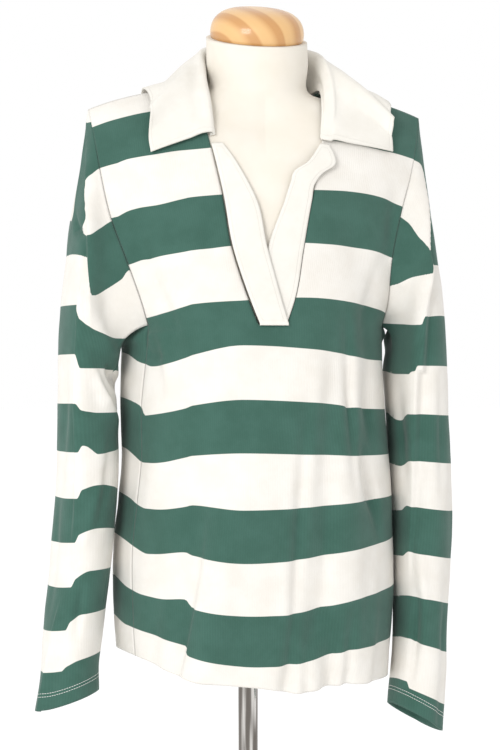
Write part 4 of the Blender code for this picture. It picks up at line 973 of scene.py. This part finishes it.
def add_body_panel(name, places, from_back, creases, looks):
    """The front or the back of the shirt. The places are the s and level of each of its grids."""
    stripe_edges = [list(zip(STRIPE_X, row)) for row in BODY_EDGES]
    grids, heights, data = [], [], []
    for s, level in places:
        s, level = np.broadcast_arrays(s, level)
        grid = panel(s, level, from_back)
        grids.append(grid)
        side = (1 - np.abs(s)) * BODY_HALF_WIDTH
        fade = np.clip(side / SEAM_FADE, 0, 1) * np.clip((NECK_LEVEL - level) / SEAM_FADE, 0, 1)
        fade = fade * fade * (3 - 2 * fade)
        if not from_back:
            past_left = grid[..., 0] - read(SLIT_EDGES, "level", "left", level)
            past_right = grid[..., 0] - read(SLIT_EDGES, "level", "right", level)
            slit = np.minimum(np.abs(past_left), np.abs(past_right))
            slit = np.where((past_left > 0) & (past_right < 0), 0, slit)
            open_share = np.clip((level - SLIT_QUIET) / SLIT_OPENS_OVER, 0, 1)
            fade = fade * (1 - open_share * (1 - np.clip(slit / SLIT_FADE, 0, 1)))
        small = waves(grid.reshape(-1, 3)).reshape(s.shape) * np.clip(side / SEAM_FADE, 0, 1)
        heights.append(crease_height(creases, grid[..., 0], grid[..., 2]) * fade + small * fade)
        band = band_at(stripe_edges, 0.0, grid[..., 0], level)
        edge = np.minimum(side, NECK_LEVEL - level)
        data.append(np.stack([s * BODY_HALF_WIDTH, level, band, edge, 0 * s], axis=-1).reshape(-1, 5))
    points, quads, loose, shaped = lifted_grids(grids, heights)
    corners = np.concatenate(data)[loose]
    thing = add_cloth(name + "_cloth", points, quads, corners, looks)
    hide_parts(name)
    return thing, points, quads, shaped


def front_places():
    """The s and level of each point of the three grids of the front."""
    lower, upper = levels()
    slit_left = across_at(read(SLIT_EDGES, "level", "left", UNDERARM), UNDERARM)
    slit_right = across_at(read(SLIT_EDGES, "level", "right", UNDERARM), UNDERARM)
    left = np.linspace(-1, slit_left, SIDE_COLUMNS + 1)
    right = np.linspace(slit_right, 1, SIDE_COLUMNS + 1)
    middle = np.linspace(slit_left, slit_right, SLIT_COLUMNS + 1)
    base = np.concatenate([left, middle[1:-1], right])
    rows = np.concatenate([lower[-1:], upper])
    share = np.linspace(0, 1, SIDE_COLUMNS + 1)[None, :]
    left_edge = across_at(read(SLIT_EDGES, "level", "left", rows), rows)[:, None]
    right_edge = across_at(read(SLIT_EDGES, "level", "right", rows), rows)[:, None]
    return [(base[None, :], lower[:, None]),
            (-1 + share * (left_edge + 1), rows[:, None]),
            (right_edge + share * (1 - right_edge), rows[:, None])]


def back_place():
    """The s and level of each point of the back, whose middle columns end at the neckline."""
    lower, upper = levels()
    neck_left = float(across_at(SLIT_EDGES[-1].left, NECK_LEVEL, True))
    neck_right = float(across_at(SLIT_EDGES[-1].right, NECK_LEVEL, True))
    along_neck = (np.sin(np.linspace(-pi / 2, pi / 2, NECK_COLUMNS + 1)) + 1) / 2
    columns = np.concatenate([np.linspace(-1, neck_left, SIDE_COLUMNS + 1),
                              neck_left + (neck_right - neck_left) * along_neck[1:-1],
                              np.linspace(neck_right, 1, SIDE_COLUMNS + 1)])
    rows = np.concatenate([lower, upper])[:, None]
    drop = neck_drop(panel(columns, NECK_LEVEL, True)[:, 0])
    share = np.clip((rows - UNDERARM) / (NECK_LEVEL - UNDERARM), 0, 1)
    return columns[None, ::-1], rows - drop[None, ::-1] * share**3


def turn_seen(side, points):
    """The turn of points of a sleeve's head, as if its ring under the armhole went on upwards."""
    ring = SLEEVE_LEFT_RINGS[0] if side < 0 else SLEEVE_RIGHT_RINGS[0]
    inward = ((ring.inner + ring.outer) / 2 - side * points[..., 0]) / ((ring.outer - ring.inner) / 2)
    forward = (ring.y_mid - points[..., 1]) / ring.half_depth
    return np.degrees(np.arctan2(forward, inward)) % 360


def add_sleeve(name, side, stripe_edges, tuck, creases, looks):
    """A sleeve from its armhole to its cuff."""
    grid, turn, height = sleeve_grid(side)
    head = np.broadcast_to(np.isnan(height), grid.shape[:2])
    degrees = np.where(head, turn_seen(side, grid), np.degrees(turn))
    near_end = np.minimum(turn, 2 * pi - turn) < SEAM_TURN
    degrees = np.where(head & near_end & (np.abs(degrees - np.degrees(turn)) > 180),
                       degrees + 360 * np.sign(turn - pi), degrees)
    degrees = np.clip(degrees, 0, 360)
    tall = np.where(head, grid[..., 2], height)
    band = band_at(stripe_edges, 0.5, degrees, tall)
    line = np.interp(degrees, [tuck.turn_low, tuck.turn_high], [tuck.height_low, tuck.height_high])
    hidden = ((degrees > tuck.turn_low) & (degrees < tuck.turn_high)
              & (np.abs(tall - line) < tuck.reach)).astype(float)
    arc = (np.radians(degrees) - pi) * SLEEVE_MEAN_RADIUS
    down = row_lengths(grid.transpose(1, 0, 2)).T
    around = row_lengths(grid)
    middle = around[:, -1:] / 2
    aside = pi * SLEEVE_MEAN_RADIUS - np.abs(arc)
    fade = np.clip(down / SEAM_FADE, 0, 1) * np.clip(aside / SEAM_FADE, 0, 1)
    fade = fade * fade * (3 - 2 * fade)
    small = waves(grid.reshape(-1, 3)).reshape(arc.shape)
    heights = (crease_height(creases, arc, tall) + small) * fade
    points, quads, loose, shaped = lifted_grids([grid], [heights])
    data = np.stack([around - middle, tall, band, down, hidden], axis=-1).reshape(-1, 5)
    thing = add_cloth(name + "_cloth", points, quads, data[loose], looks)
    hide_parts(name)
    return thing, points, quads, shaped[0]


def finer(rows, counts, around=False):
    """A coarse grid of points made finer on smooth curves, in both directions."""
    for axis, count in enumerate(counts):
        line = np.moveaxis(rows, axis, 0)
        if around and axis == 1:
            line = np.concatenate([line[-3:], line, line[:4]])
            knots = np.arange(len(line)) - 3.0
            at = np.linspace(0, len(line) - 7, count + 1)
        else:
            steps = np.linalg.norm(np.diff(line, axis=0), axis=2).mean(axis=1)
            knots = np.concatenate([[0], np.cumsum(steps)])
            at = np.linspace(0, knots[-1], count + 1)
        rows = np.moveaxis(smooth(knots, line, at), 0, axis)
    return rows


def add_collar(coarse, looks):
    """The collar, stand and fall, from its coarse grid."""
    grid = finer(coarse, COLLAR_FINE)
    stations, columns = grid.shape[:2]
    across = row_lengths(grid)
    along = np.broadcast_to(np.linspace(0, COLLAR_LENGTH, stations)[:, None], across.shape)
    edge = np.minimum(across[:, -1:] - across, np.minimum(along, COLLAR_LENGTH - along))
    fall = across / across[:, -1:]
    share = along / COLLAR_LENGTH
    ripple = np.sin(share * COLLAR_RIPPLES * pi) * np.sin(share * pi) * fall**3 * COLLAR_RIPPLE
    points, quads, loose, shaped = lifted_grids([grid], [ripple + COLLAR_SWELL * np.sin(pi * fall) ** 2])
    data = np.stack([across, along, 0 * across, edge, 0 * across], axis=-1).reshape(-1, 5)
    thing = add_cloth("collar_cloth", points, quads, data[loose], looks, COLLAR_CLOTH)
    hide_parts("collar")
    return thing, points, quads, shaped[0]


def add_placket(name, strips, slit_edge, inward, looks):
    """One strip of the placket."""
    grid = strip_grid(strips, slit_edge, inward)
    across = row_lengths(grid)
    along = np.broadcast_to(np.linspace(0, PLACKET_LENGTH, len(grid))[:, None], across.shape)
    width = across[:, -1:]
    edge = np.minimum(np.minimum(across, width - across), np.minimum(along, PLACKET_LENGTH - along))
    crown = np.clip(edge / PLACKET_CROWN_REACH, 0, 1) * PLACKET_CROWN
    points, quads, loose, shaped = lifted_grids([grid], [crown])
    data = np.stack([across, along, 0 * across, edge, 0 * across], axis=-1).reshape(-1, 5)
    thing = add_cloth(name + "_cloth", points, quads, data[loose], looks)
    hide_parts(name)
    return thing, points, quads, shaped[0]


def form_rings(collar):
    """The rings of the padded torso, from its foot to the rim of its neck."""
    heights = [row.height for row in FORM_RINGS]
    turn = np.linspace(0, 2 * pi, FORM_SIDES, endpoint=False)
    rings = []
    for height in np.concatenate([np.linspace(heights[0], heights[1], 2),
                                  np.linspace(heights[1], heights[-1], FORM_RING_STEPS)[1:]]):
        row = FormRing(height, *[read(FORM_RINGS, "height", name, height) for name in FormRing._fields[1:]])
        depth = np.where(np.cos(turn) > 0, row.front_depth, row.back_depth)
        rings.append(np.stack([row.x_mid + row.half_width * np.sin(turn), row.y_mid - depth * np.cos(turn),
                               row.height + row.side_rise * np.sin(turn) ** 2], axis=-1))
    cloth, outward = shoulder_samples()
    stand = collar[:, :STAND_COLUMNS].reshape(-1, 3)
    around = unit((stand - np.array(NECK_TOP)) * [1, 1, 0])
    samples = np.concatenate([cloth, stand]), np.concatenate([outward, around])
    rings = list(drawn_in(np.stack(rings), samples))
    rings.append(np.stack([NECK_RADIUS * np.sin(turn), -NECK_RADIUS * np.cos(turn) * cos(NECK_TILT),
                           -NECK_RADIUS * np.cos(turn) * sin(NECK_TILT)], axis=-1) + np.array(NECK_TOP))
    return np.stack(rings)


def add_form(collar, look):
    """The covered torso: smooth sides, a rolled rim at the neck and a flat foot."""
    grid = finer(form_rings(collar), FORM_FINE, around=True)
    foot, top = grid[0], grid[-1]
    rows = [foot.mean(axis=0) + (foot - foot.mean(axis=0)) * share for share in (0.0, 0.5, 0.97)]
    rim = [top.mean(axis=0) + (top - top.mean(axis=0)) * share for share in (0.97, 0.9, 0.5, 0.0)]
    grid = np.concatenate([np.array(rows), grid, np.array(rim)])
    points, _, quads, loose = joined([grid])
    keep = [len(set(quad)) > 2 for quad in quads.tolist()]
    faces = [tuple(dict.fromkeys(quad)) for quad in quads[keep].tolist()]
    thing = add_mesh("form_cover", points, faces, [look])
    down = row_lengths(grid.transpose(1, 0, 2)).T
    data = np.stack([row_lengths(grid), down], axis=-1).reshape(-1, 2)
    weave = thing.data.uv_layers.new(name="weave")
    corners = []
    for quad, old in zip(quads[keep].tolist(), loose[keep].tolist()):
        corners += [data[old[quad.index(v)]] for v in dict.fromkeys(quad)]
    weave.data.foreach_set("uv", np.array(corners, np.float32).ravel())
    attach(thing, "root")
    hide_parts("form_torso")
    return thing


def turned(name, profile, steps, look, node, tilt=0.0, place=(0, 0, 0)):
    """A turned piece from a profile of radius and height, from the axis at its top to the axis below."""
    turn = np.linspace(0, 2 * pi, steps + 1)[:-1]
    profile = np.array(profile)
    radius, height = profile[:, :1], profile[:, 1:]
    x = radius * np.sin(turn)
    y = -radius * np.cos(turn)
    z = np.broadcast_to(height, x.shape)
    points = np.stack([x, y * cos(tilt) - z * sin(tilt), y * sin(tilt) + z * cos(tilt)], axis=-1)
    points = points.reshape(-1, 3) + np.array(place)
    faces = []
    for ring in range(len(profile) - 1):
        for c in range(steps):
            d = (c + 1) % steps
            low, high = (ring + 1) * steps, ring * steps
            faces.append((low + c, low + d, high + d, high + c))
    mesh = bpy.data.meshes.new(name)
    mesh.from_pydata(points.tolist(), [], faces)
    thing = bpy.data.objects.new(name, mesh)
    bpy.context.scene.collection.objects.link(thing)
    work = bmesh.new()
    work.from_mesh(mesh)
    bmesh.ops.remove_doubles(work, verts=work.verts, dist=WELD)
    bmesh.ops.recalc_face_normals(work, faces=work.faces)
    work.to_mesh(mesh)
    work.free()
    mesh.shade_smooth()
    mesh.set_sharp_from_angle(angle=SHARP_ANGLE)
    mesh.materials.append(look)
    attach(thing, "root")
    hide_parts(node)
    return thing


def rounded(profile):
    """A profile with its corners turned smooth."""
    profile = np.array(profile, float)
    for _ in range(2):
        cut = [profile[0]]
        for a, b in zip(profile[:-1], profile[1:]):
            cut += [a * 0.75 + b * 0.25, a * 0.25 + b * 0.75]
        profile = np.array(cut + [profile[-1]])
    return profile


def add_stitches(name, paths, look):
    """Rows of short stitches. Each path is a line of points with the outward direction at each."""
    vertices, faces = [], []
    shape = ((0.0, 0.4, -0.6), (0.2, 0.95, 0.3), (0.8, 0.95, 0.3), (1.0, 0.4, -0.6))
    sides = 5
    for points, outward in paths:
        distance = lengths_along(points)
        for start in np.arange(0, distance[-1] - STITCH_LENGTH, STITCH_PITCH):
            at = start + np.array([row[0] for row in shape]) * STITCH_LENGTH
            places = np.stack([np.interp(at, distance, points[:, i]) for i in range(3)], axis=1)
            up = unit(np.stack([np.interp(at, distance, outward[:, i]) for i in range(3)], axis=1))
            along = unit(places[-1:] - places[:1])
            aside = unit(np.cross(up, along))
            first = len(vertices)
            for (_, radius, lift), place, out, wide in zip(shape, places, up, aside):
                for k in range(sides):
                    turn = 2 * pi * k / sides
                    vertices.append(place + STITCH_RADIUS * (out * (lift + radius * sin(turn))
                                                             + wide * radius * 1.2 * cos(turn)))
            for row in range(len(shape) - 1):
                for k in range(sides):
                    low = first + row * sides
                    following = (k + 1) % sides
                    faces.append((low + k, low + following, low + sides + following, low + sides + k))
            faces.append(tuple(first + k for k in reversed(range(sides))))
            faces.append(tuple(first + (len(shape) - 1) * sides + k for k in range(sides)))
    thing = add_mesh(name, np.array(vertices), faces, [look])
    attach(thing, "root")
    return thing


def line_across(grid, inset):
    """A line over a grid at a distance from its last row, with the outward direction."""
    down = row_lengths(grid.transpose(1, 0, 2)).T
    points = []
    for column in range(grid.shape[1]):
        at = down[-1, column] - inset
        points.append([np.interp(at, down[:, column], grid[:, column, i]) for i in range(3)])
    points = np.array(points)
    across = np.gradient(points, axis=0)
    below = grid[-1] - points
    return points, unit(np.cross(across, -below))


class Look:
    """A material with short calls for its nodes."""

    def __init__(self, name, **values):
        self.material = bpy.data.materials.new(name)
        self.material.use_nodes = True
        self.tree = self.material.node_tree
        self.shader = self.tree.nodes["Principled BSDF"]
        for socket, value in values.items():
            self.shader.inputs[socket.replace("_", " ")].default_value = value

    def node(self, kind, inputs=None, **settings):
        """A node with its inputs linked or set."""
        node = self.tree.nodes.new(kind)
        for key, value in settings.items():
            setattr(node, key, value)
        for socket, value in (inputs or {}).items():
            if isinstance(value, bpy.types.NodeSocket):
                self.tree.links.new(value, node.inputs[socket])
            else:
                node.inputs[socket].default_value = value
        return node

    def math(self, operation, first, second=0.0, third=0.0):
        """A sum, product or other result of up to three values."""
        return self.node("ShaderNodeMath", {0: first, 1: second, 2: third}, operation=operation).outputs[0]

    def plus(self, first, second):
        """Two values added."""
        return self.math("ADD", first, second)

    def times(self, first, second):
        """Two values multiplied."""
        return self.math("MULTIPLY", first, second)

    def curve(self, value, low, high, to_low=0.0, to_high=1.0):
        """A value carried smoothly from one range to another."""
        inputs = {"Value": value, "From Min": low, "From Max": high, "To Min": to_low, "To Max": to_high}
        return self.node("ShaderNodeMapRange", inputs, interpolation_type="SMOOTHSTEP").outputs[0]

    def mix(self, factor, first, second):
        """Two colours mixed."""
        inputs = {"Factor": factor, 6: first, 7: second}
        return self.node("ShaderNodeMix", inputs, data_type="RGBA").outputs[2]

    def scaled(self, place, scale):
        """A point with its coordinates multiplied."""
        return self.node("ShaderNodeVectorMath", {0: place, 1: scale}, operation="MULTIPLY").outputs[0]

    def noise(self, place, scale, detail=3.0, roughness=0.5):
        """Soft random values over space."""
        inputs = {"Vector": place, "Scale": scale, "Detail": detail, "Roughness": roughness}
        return self.node("ShaderNodeTexNoise", inputs).outputs[0]

    def place(self):
        """The point of the surface in the frame of the object."""
        return self.node("ShaderNodeTexCoord").outputs["Object"]

    def attribute(self, name):
        """A value stored at the corners of the cloth."""
        return self.node("ShaderNodeAttribute", attribute_name=name).outputs["Fac"]

    def weave(self):
        """How far along and across the cloth a point lies, in metres."""
        uv = self.node("ShaderNodeUVMap", uv_map="weave").outputs[0]
        split = self.node("ShaderNodeSeparateXYZ", {0: uv})
        return split.outputs[0], split.outputs[1]

    def wave(self, value, pitch, shift=0.0):
        """A round wave from 0 to 1 with one crest for each pitch."""
        turns = self.math("MULTIPLY_ADD", value, 2 * pi / pitch, shift)
        return self.math("MULTIPLY_ADD", self.math("SINE", turns), 0.5, 0.5)

    def bump(self, height, strength, distance):
        """Fine relief of the surface."""
        inputs = {"Height": height, "Strength": strength, "Distance": distance}
        self.tree.links.new(self.node("ShaderNodeBump", inputs).outputs[0], self.shader.inputs["Normal"])

    def paint(self, color):
        """The colour of the surface."""
        self.tree.links.new(color, self.shader.inputs["Base Color"])


def knit_look():
    """Striped rib jersey: dark green and white, with wales up the cloth and a seam line at its edges."""
    look = Look("striped_knit", Roughness=0.86, Sheen_Weight=0.12, Sheen_Roughness=0.6,
                Specular_IOR_Level=0.22)
    across, along = look.weave()
    tri = look.math("PINGPONG", look.plus(look.attribute("band"), 0.25), 0.5)
    green_share = look.math("MAXIMUM", look.curve(tri, 0.2475, 0.2525),
                            look.curve(look.attribute("tuck"), 0.3, 0.5))
    mottle = look.noise(look.place(), 38.0, 4.0, 0.6)
    heather = look.noise(look.place(), 900.0, 2.0, 0.6)
    wale = look.wave(across, WALE_PITCH)
    course = look.wave(along, COURSE_PITCH)
    rib = look.wave(across, RIB_PITCH)
    green = look.mix(look.curve(mottle, 0.3, 0.7), GREEN_DEEP, GREEN_LIGHT)
    green = look.mix(look.times(heather, 0.22), green, GREEN_FLECK)
    green = look.mix(look.times(rib, 0.14), green, GREEN_DARK)
    white = look.mix(look.curve(mottle, 0.3, 0.7), WHITE_WARM, WHITE_CLEAR)
    white = look.mix(look.times(rib, 0.06), white, WHITE_SHADE)
    color = look.mix(green_share, white, green)
    seam = look.curve(look.attribute("edge"), 0.0002, 0.0020, 1.0, 0.0)
    color = look.mix(look.times(seam, 0.04), color, SEAM_SHADE)
    look.paint(color)
    stitch = look.times(look.times(wale, course), 0.30)
    height = look.plus(look.times(rib, 0.20), stitch)
    height = look.plus(height, look.times(look.noise(look.place(), 160.0, 3.0), 0.45))
    height = look.math("SUBTRACT", height, look.times(seam, 0.5))
    look.bump(height, 0.55, 0.0006)
    return look.material


def twill_look():
    """White cotton drill of the collar and placket: a fine diagonal weave, a little creased."""
    look = Look("white_cotton", Roughness=0.82, Sheen_Weight=0.08, Sheen_Roughness=0.5,
                Specular_IOR_Level=0.25)
    across, along = look.weave()
    diagonal = look.wave(look.plus(across, look.times(along, 1.35)), TWILL_PITCH)
    thread = look.wave(along, TWILL_PITCH * 0.6)
    mottle = look.noise(look.place(), 46.0, 4.0, 0.6)
    white = look.mix(look.curve(mottle, 0.3, 0.7), COTTON_WARM, COTTON_CLEAR)
    white = look.mix(look.times(diagonal, 0.12), white, COTTON_SHADE)
    edge = look.attribute("edge")
    away = look.math("ABSOLUTE", look.math("SUBTRACT", edge, EDGE_STITCH_INSET))
    groove = look.curve(away, 0.0, 0.0011, 1.0, 0.0)
    white = look.mix(look.times(groove, 0.20), white, COTTON_SHADE)
    look.paint(white)
    height = look.plus(look.times(diagonal, 0.3), look.times(thread, 0.15))
    height = look.plus(height, look.times(look.noise(look.place(), 110.0, 4.0), 0.8))
    height = look.math("SUBTRACT", height, look.times(groove, 1.2))
    look.bump(height, 0.5, 0.0005)
    return look.material


def cover_look():
    """Cream linen-like cover of the form."""
    look = Look("form_cover", Roughness=0.9, Sheen_Weight=0.1, Sheen_Roughness=0.5,
                Specular_IOR_Level=0.2)
    across, along = look.weave()
    threads = look.plus(look.wave(across, COVER_PITCH), look.wave(along, COVER_PITCH))
    slub = look.noise(look.place(), 240.0, 4.0, 0.65)
    mottle = look.noise(look.place(), 30.0, 3.0)
    cream = look.mix(look.curve(mottle, 0.3, 0.7), COVER_WARM, COVER_CLEAR)
    cream = look.mix(look.times(slub, 0.18), cream, COVER_SHADE)
    look.paint(cream)
    height = look.plus(look.times(threads, 0.4), look.times(slub, 0.6))
    look.bump(height, 0.4, 0.0004)
    return look.material


def pine_look():
    """Clear-coated pine, cut so that its growth rings run over the cap in broad curves."""
    look = Look("pine", Roughness=0.42, Coat_Weight=0.5, Coat_Roughness=0.12)
    place = look.node("ShaderNodeVectorRotate", {"Vector": look.place(), "Center": GRAIN_CENTRE,
                                                 "Axis": (0.25, 1.0, 0.12), "Angle": 0.5}).outputs[0]
    stretched = look.scaled(place, (1.0, 0.10, 1.0))
    bend = look.noise(stretched, 9.0, 2.0)
    rings = look.node("ShaderNodeVectorMath", {0: stretched, 1: GRAIN_CENTRE}, operation="DISTANCE")
    rings = look.math("MULTIPLY_ADD", bend, GRAIN_BEND, rings.outputs[1])
    band = look.math("FRACT", look.math("DIVIDE", rings, GRAIN_PITCH))
    late = look.times(look.curve(band, 0.25, 0.80), look.curve(band, 1.0, 0.86))
    fibre = look.noise(look.scaled(place, (1.0, 0.06, 1.0)), 900.0, 3.0, 0.6)
    wood = look.mix(look.times(late, 1.3), PINE_LIGHT, PINE_DARK)
    wood = look.mix(look.times(fibre, 0.22), wood, PINE_FIBRE)
    look.paint(wood)
    look.bump(look.plus(fibre, late), 0.15, 0.0003)
    return look.material


def chrome_look():
    """Polished tube, with faint rubbing marks round it, and painted light and dark reflection bands up it
    in its colour.
    """
    look = Look("chrome", Metallic=1.0)
    # Painted reflection: light and dark bands up the tube, put into its base colour
    reflection_bands = look.noise(look.scaled(look.place(), (1.0, 1.0, 0.05)), 150.0, 2.0, 0.4)
    reflection_bands = look.curve(reflection_bands, 0.42, 0.60)
    look.paint(look.mix(reflection_bands, REFLECTION_BAND_LIGHT, REFLECTION_BAND_DARK))
    rub = look.noise(look.scaled(look.place(), (1.0, 1.0, 14.0)), 60.0, 4.0, 0.6)
    look.tree.links.new(look.curve(rub, 0.3, 0.8, 0.07, 0.20), look.shader.inputs["Roughness"])
    look.bump(rub, 0.05, 0.0002)
    return look.material


def steel_look():
    """Satin steel of the foot, brushed in rings."""
    look = Look("base_metal", Base_Color=(0.52, 0.51, 0.49, 1), Metallic=1.0)
    split = look.node("ShaderNodeSeparateXYZ", {0: look.place()})
    squares = [look.math("POWER", part, 2.0) for part in split.outputs[:2]]
    radius = look.math("SQRT", look.plus(*squares))
    ring = look.node("ShaderNodeCombineXYZ", {0: look.times(radius, 60.0), 1: split.outputs[2]})
    rings = look.noise(ring.outputs[0], 22.0, 5.0, 0.7)
    smudge = look.noise(look.place(), 9.0, 3.0)
    rough = look.math("MULTIPLY_ADD", rings, 0.18, look.times(smudge, 0.22))
    look.tree.links.new(look.plus(rough, 0.12), look.shader.inputs["Roughness"])
    look.bump(rings, 0.12, 0.0002)
    return look.material


def thread_look(name, color):
    """Sewing thread, twisted."""
    look = Look(name, Roughness=0.7)
    twist = look.noise(look.place(), 2600.0, 2.0)
    look.paint(look.mix(twist, color, tuple(0.82 * value for value in color[:3]) + (1,)))
    return look.material


def floor_look():
    """Plain matt floor."""
    look = Look("floor", Roughness=0.9, Emission_Color=(1, 1, 1, 1), Emission_Strength=0.14)
    mottle = look.noise(look.place(), 3.0, 3.0)
    look.paint(look.mix(mottle, (0.90, 0.90, 0.90, 1), (0.93, 0.93, 0.93, 1)))
    return look.material


def add_stage():
    """A wide floor, the pale surroundings, and the lights."""
    corners = [(-1, -1, 0), (1, -1, 0), (1, 1, 0), (-1, 1, 0)]
    floor = add_mesh("floor", np.array(corners, float) * FLOOR_REACH - [0, 0, TOUCH_GAP], [(0, 1, 2, 3)],
                     [floor_look()])
    world = bpy.data.worlds.new("studio")
    bpy.context.scene.world = world
    world.use_nodes = True
    background = world.node_tree.nodes["Background"]
    background.inputs["Color"].default_value = SURROUND
    for name, place, aim, size, power in LIGHTS:
        lamp = bpy.data.lights.new(name, "AREA")
        lamp.shape = "RECTANGLE"
        lamp.size, lamp.size_y = size
        lamp.energy = power
        thing = bpy.data.objects.new(name, lamp)
        thing.location = place
        thing.rotation_euler = (Vector(aim) - Vector(place)).to_track_quat("-Z", "Y").to_euler()
        bpy.context.scene.collection.objects.link(thing)


def add_camera():
    """A level camera in front of the shirt, a little to the viewer's left."""
    aside = Vector((cos(CAMERA_AZIMUTH), sin(CAMERA_AZIMUTH), 0))
    away = Vector((-sin(CAMERA_AZIMUTH), cos(CAMERA_AZIMUTH), 0))
    lens = bpy.data.cameras.new("camera")
    lens.sensor_width = SENSOR
    lens.lens = SENSOR * FOCAL_PER_PHOTO_HEIGHT
    thing = bpy.data.objects.new("camera", lens)
    thing.location = Vector((0, 0, CAMERA_HEIGHT)) - away * CAMERA_DISTANCE + aside * CAMERA_ASIDE
    thing.rotation_euler = (pi / 2, 0, CAMERA_AZIMUTH)
    bpy.context.scene.collection.objects.link(thing)
    bpy.context.scene.camera = thing


add_camera()
add_stage()
knit = knit_look()
twill = twill_look()
white_thread = thread_look("white_thread", (0.80, 0.79, 0.76, 1))

built = {}
front, *built["front"] = add_body_panel("front", front_places(), False, FRONT_CREASES, [knit])
back, *built["back"] = add_body_panel("back", [back_place()], True, BACK_CREASES, [knit])
right, *built["sleeve_right"] = add_sleeve("sleeve_right", -1.0, AT_LEFT_EDGES, AT_LEFT_TUCK,
                                          AT_LEFT_CREASES, [knit])
left, *built["sleeve_left"] = add_sleeve("sleeve_left", 1.0, AT_RIGHT_EDGES, AT_RIGHT_TUCK,
                                        AT_RIGHT_CREASES, [knit])
coarse_collar = collar_grid()
collar, *built["collar"] = add_collar(coarse_collar, [twill])
over, *built["placket_right"] = add_placket("placket_right", PLACKET_RIGHT, "left", 1, [twill])
under, *built["placket_left"] = add_placket("placket_left", PLACKET_LEFT, "right", -1, [twill])

for name in ("sleeve_right", "sleeve_left"):
    rows = [line_across(built[name][2], inset) for inset in CUFF_ROWS]
    add_stitches("cuff_stitches_" + name[7:], rows, white_thread)

add_form(coarse_collar, cover_look())
cap_profile = rounded([(0.0, CAP_HEIGHT)] + CAP_PROFILE[::-1]).tolist() + [(0.0490, 0.0), (0.0, 0.0)]
turned("wooden_cap", cap_profile, 96, pine_look(), "neck_cap", NECK_TILT,
       (NECK_TOP[0], NECK_TOP[1] - TOUCH_GAP * sin(NECK_TILT), NECK_TOP[2] + TOUCH_GAP * cos(NECK_TILT)))
pole_top = FORM_RINGS[0].height - TOUCH_GAP
pole_foot = BASE_HEIGHT + TOUCH_GAP
turned("tube", [(0, pole_top), (POLE_RADIUS, pole_top), (POLE_RADIUS, pole_foot), (0, pole_foot)],
       64, chrome_look(), "pole")
edge = [(BASE_RADIUS - BASE_EDGE * (1 - sin(turn)), BASE_HEIGHT - BASE_EDGE * (1 - cos(turn)))
        for turn in np.linspace(0, pi / 2, 7)]
turned("foot_plate", [(0, BASE_HEIGHT)] + edge + [(BASE_RADIUS, 0), (0, 0)], 128, steel_look(),
       "base")

bpy.context.scene.view_settings.view_transform = "Standard"
bpy.context.view_layer.update()
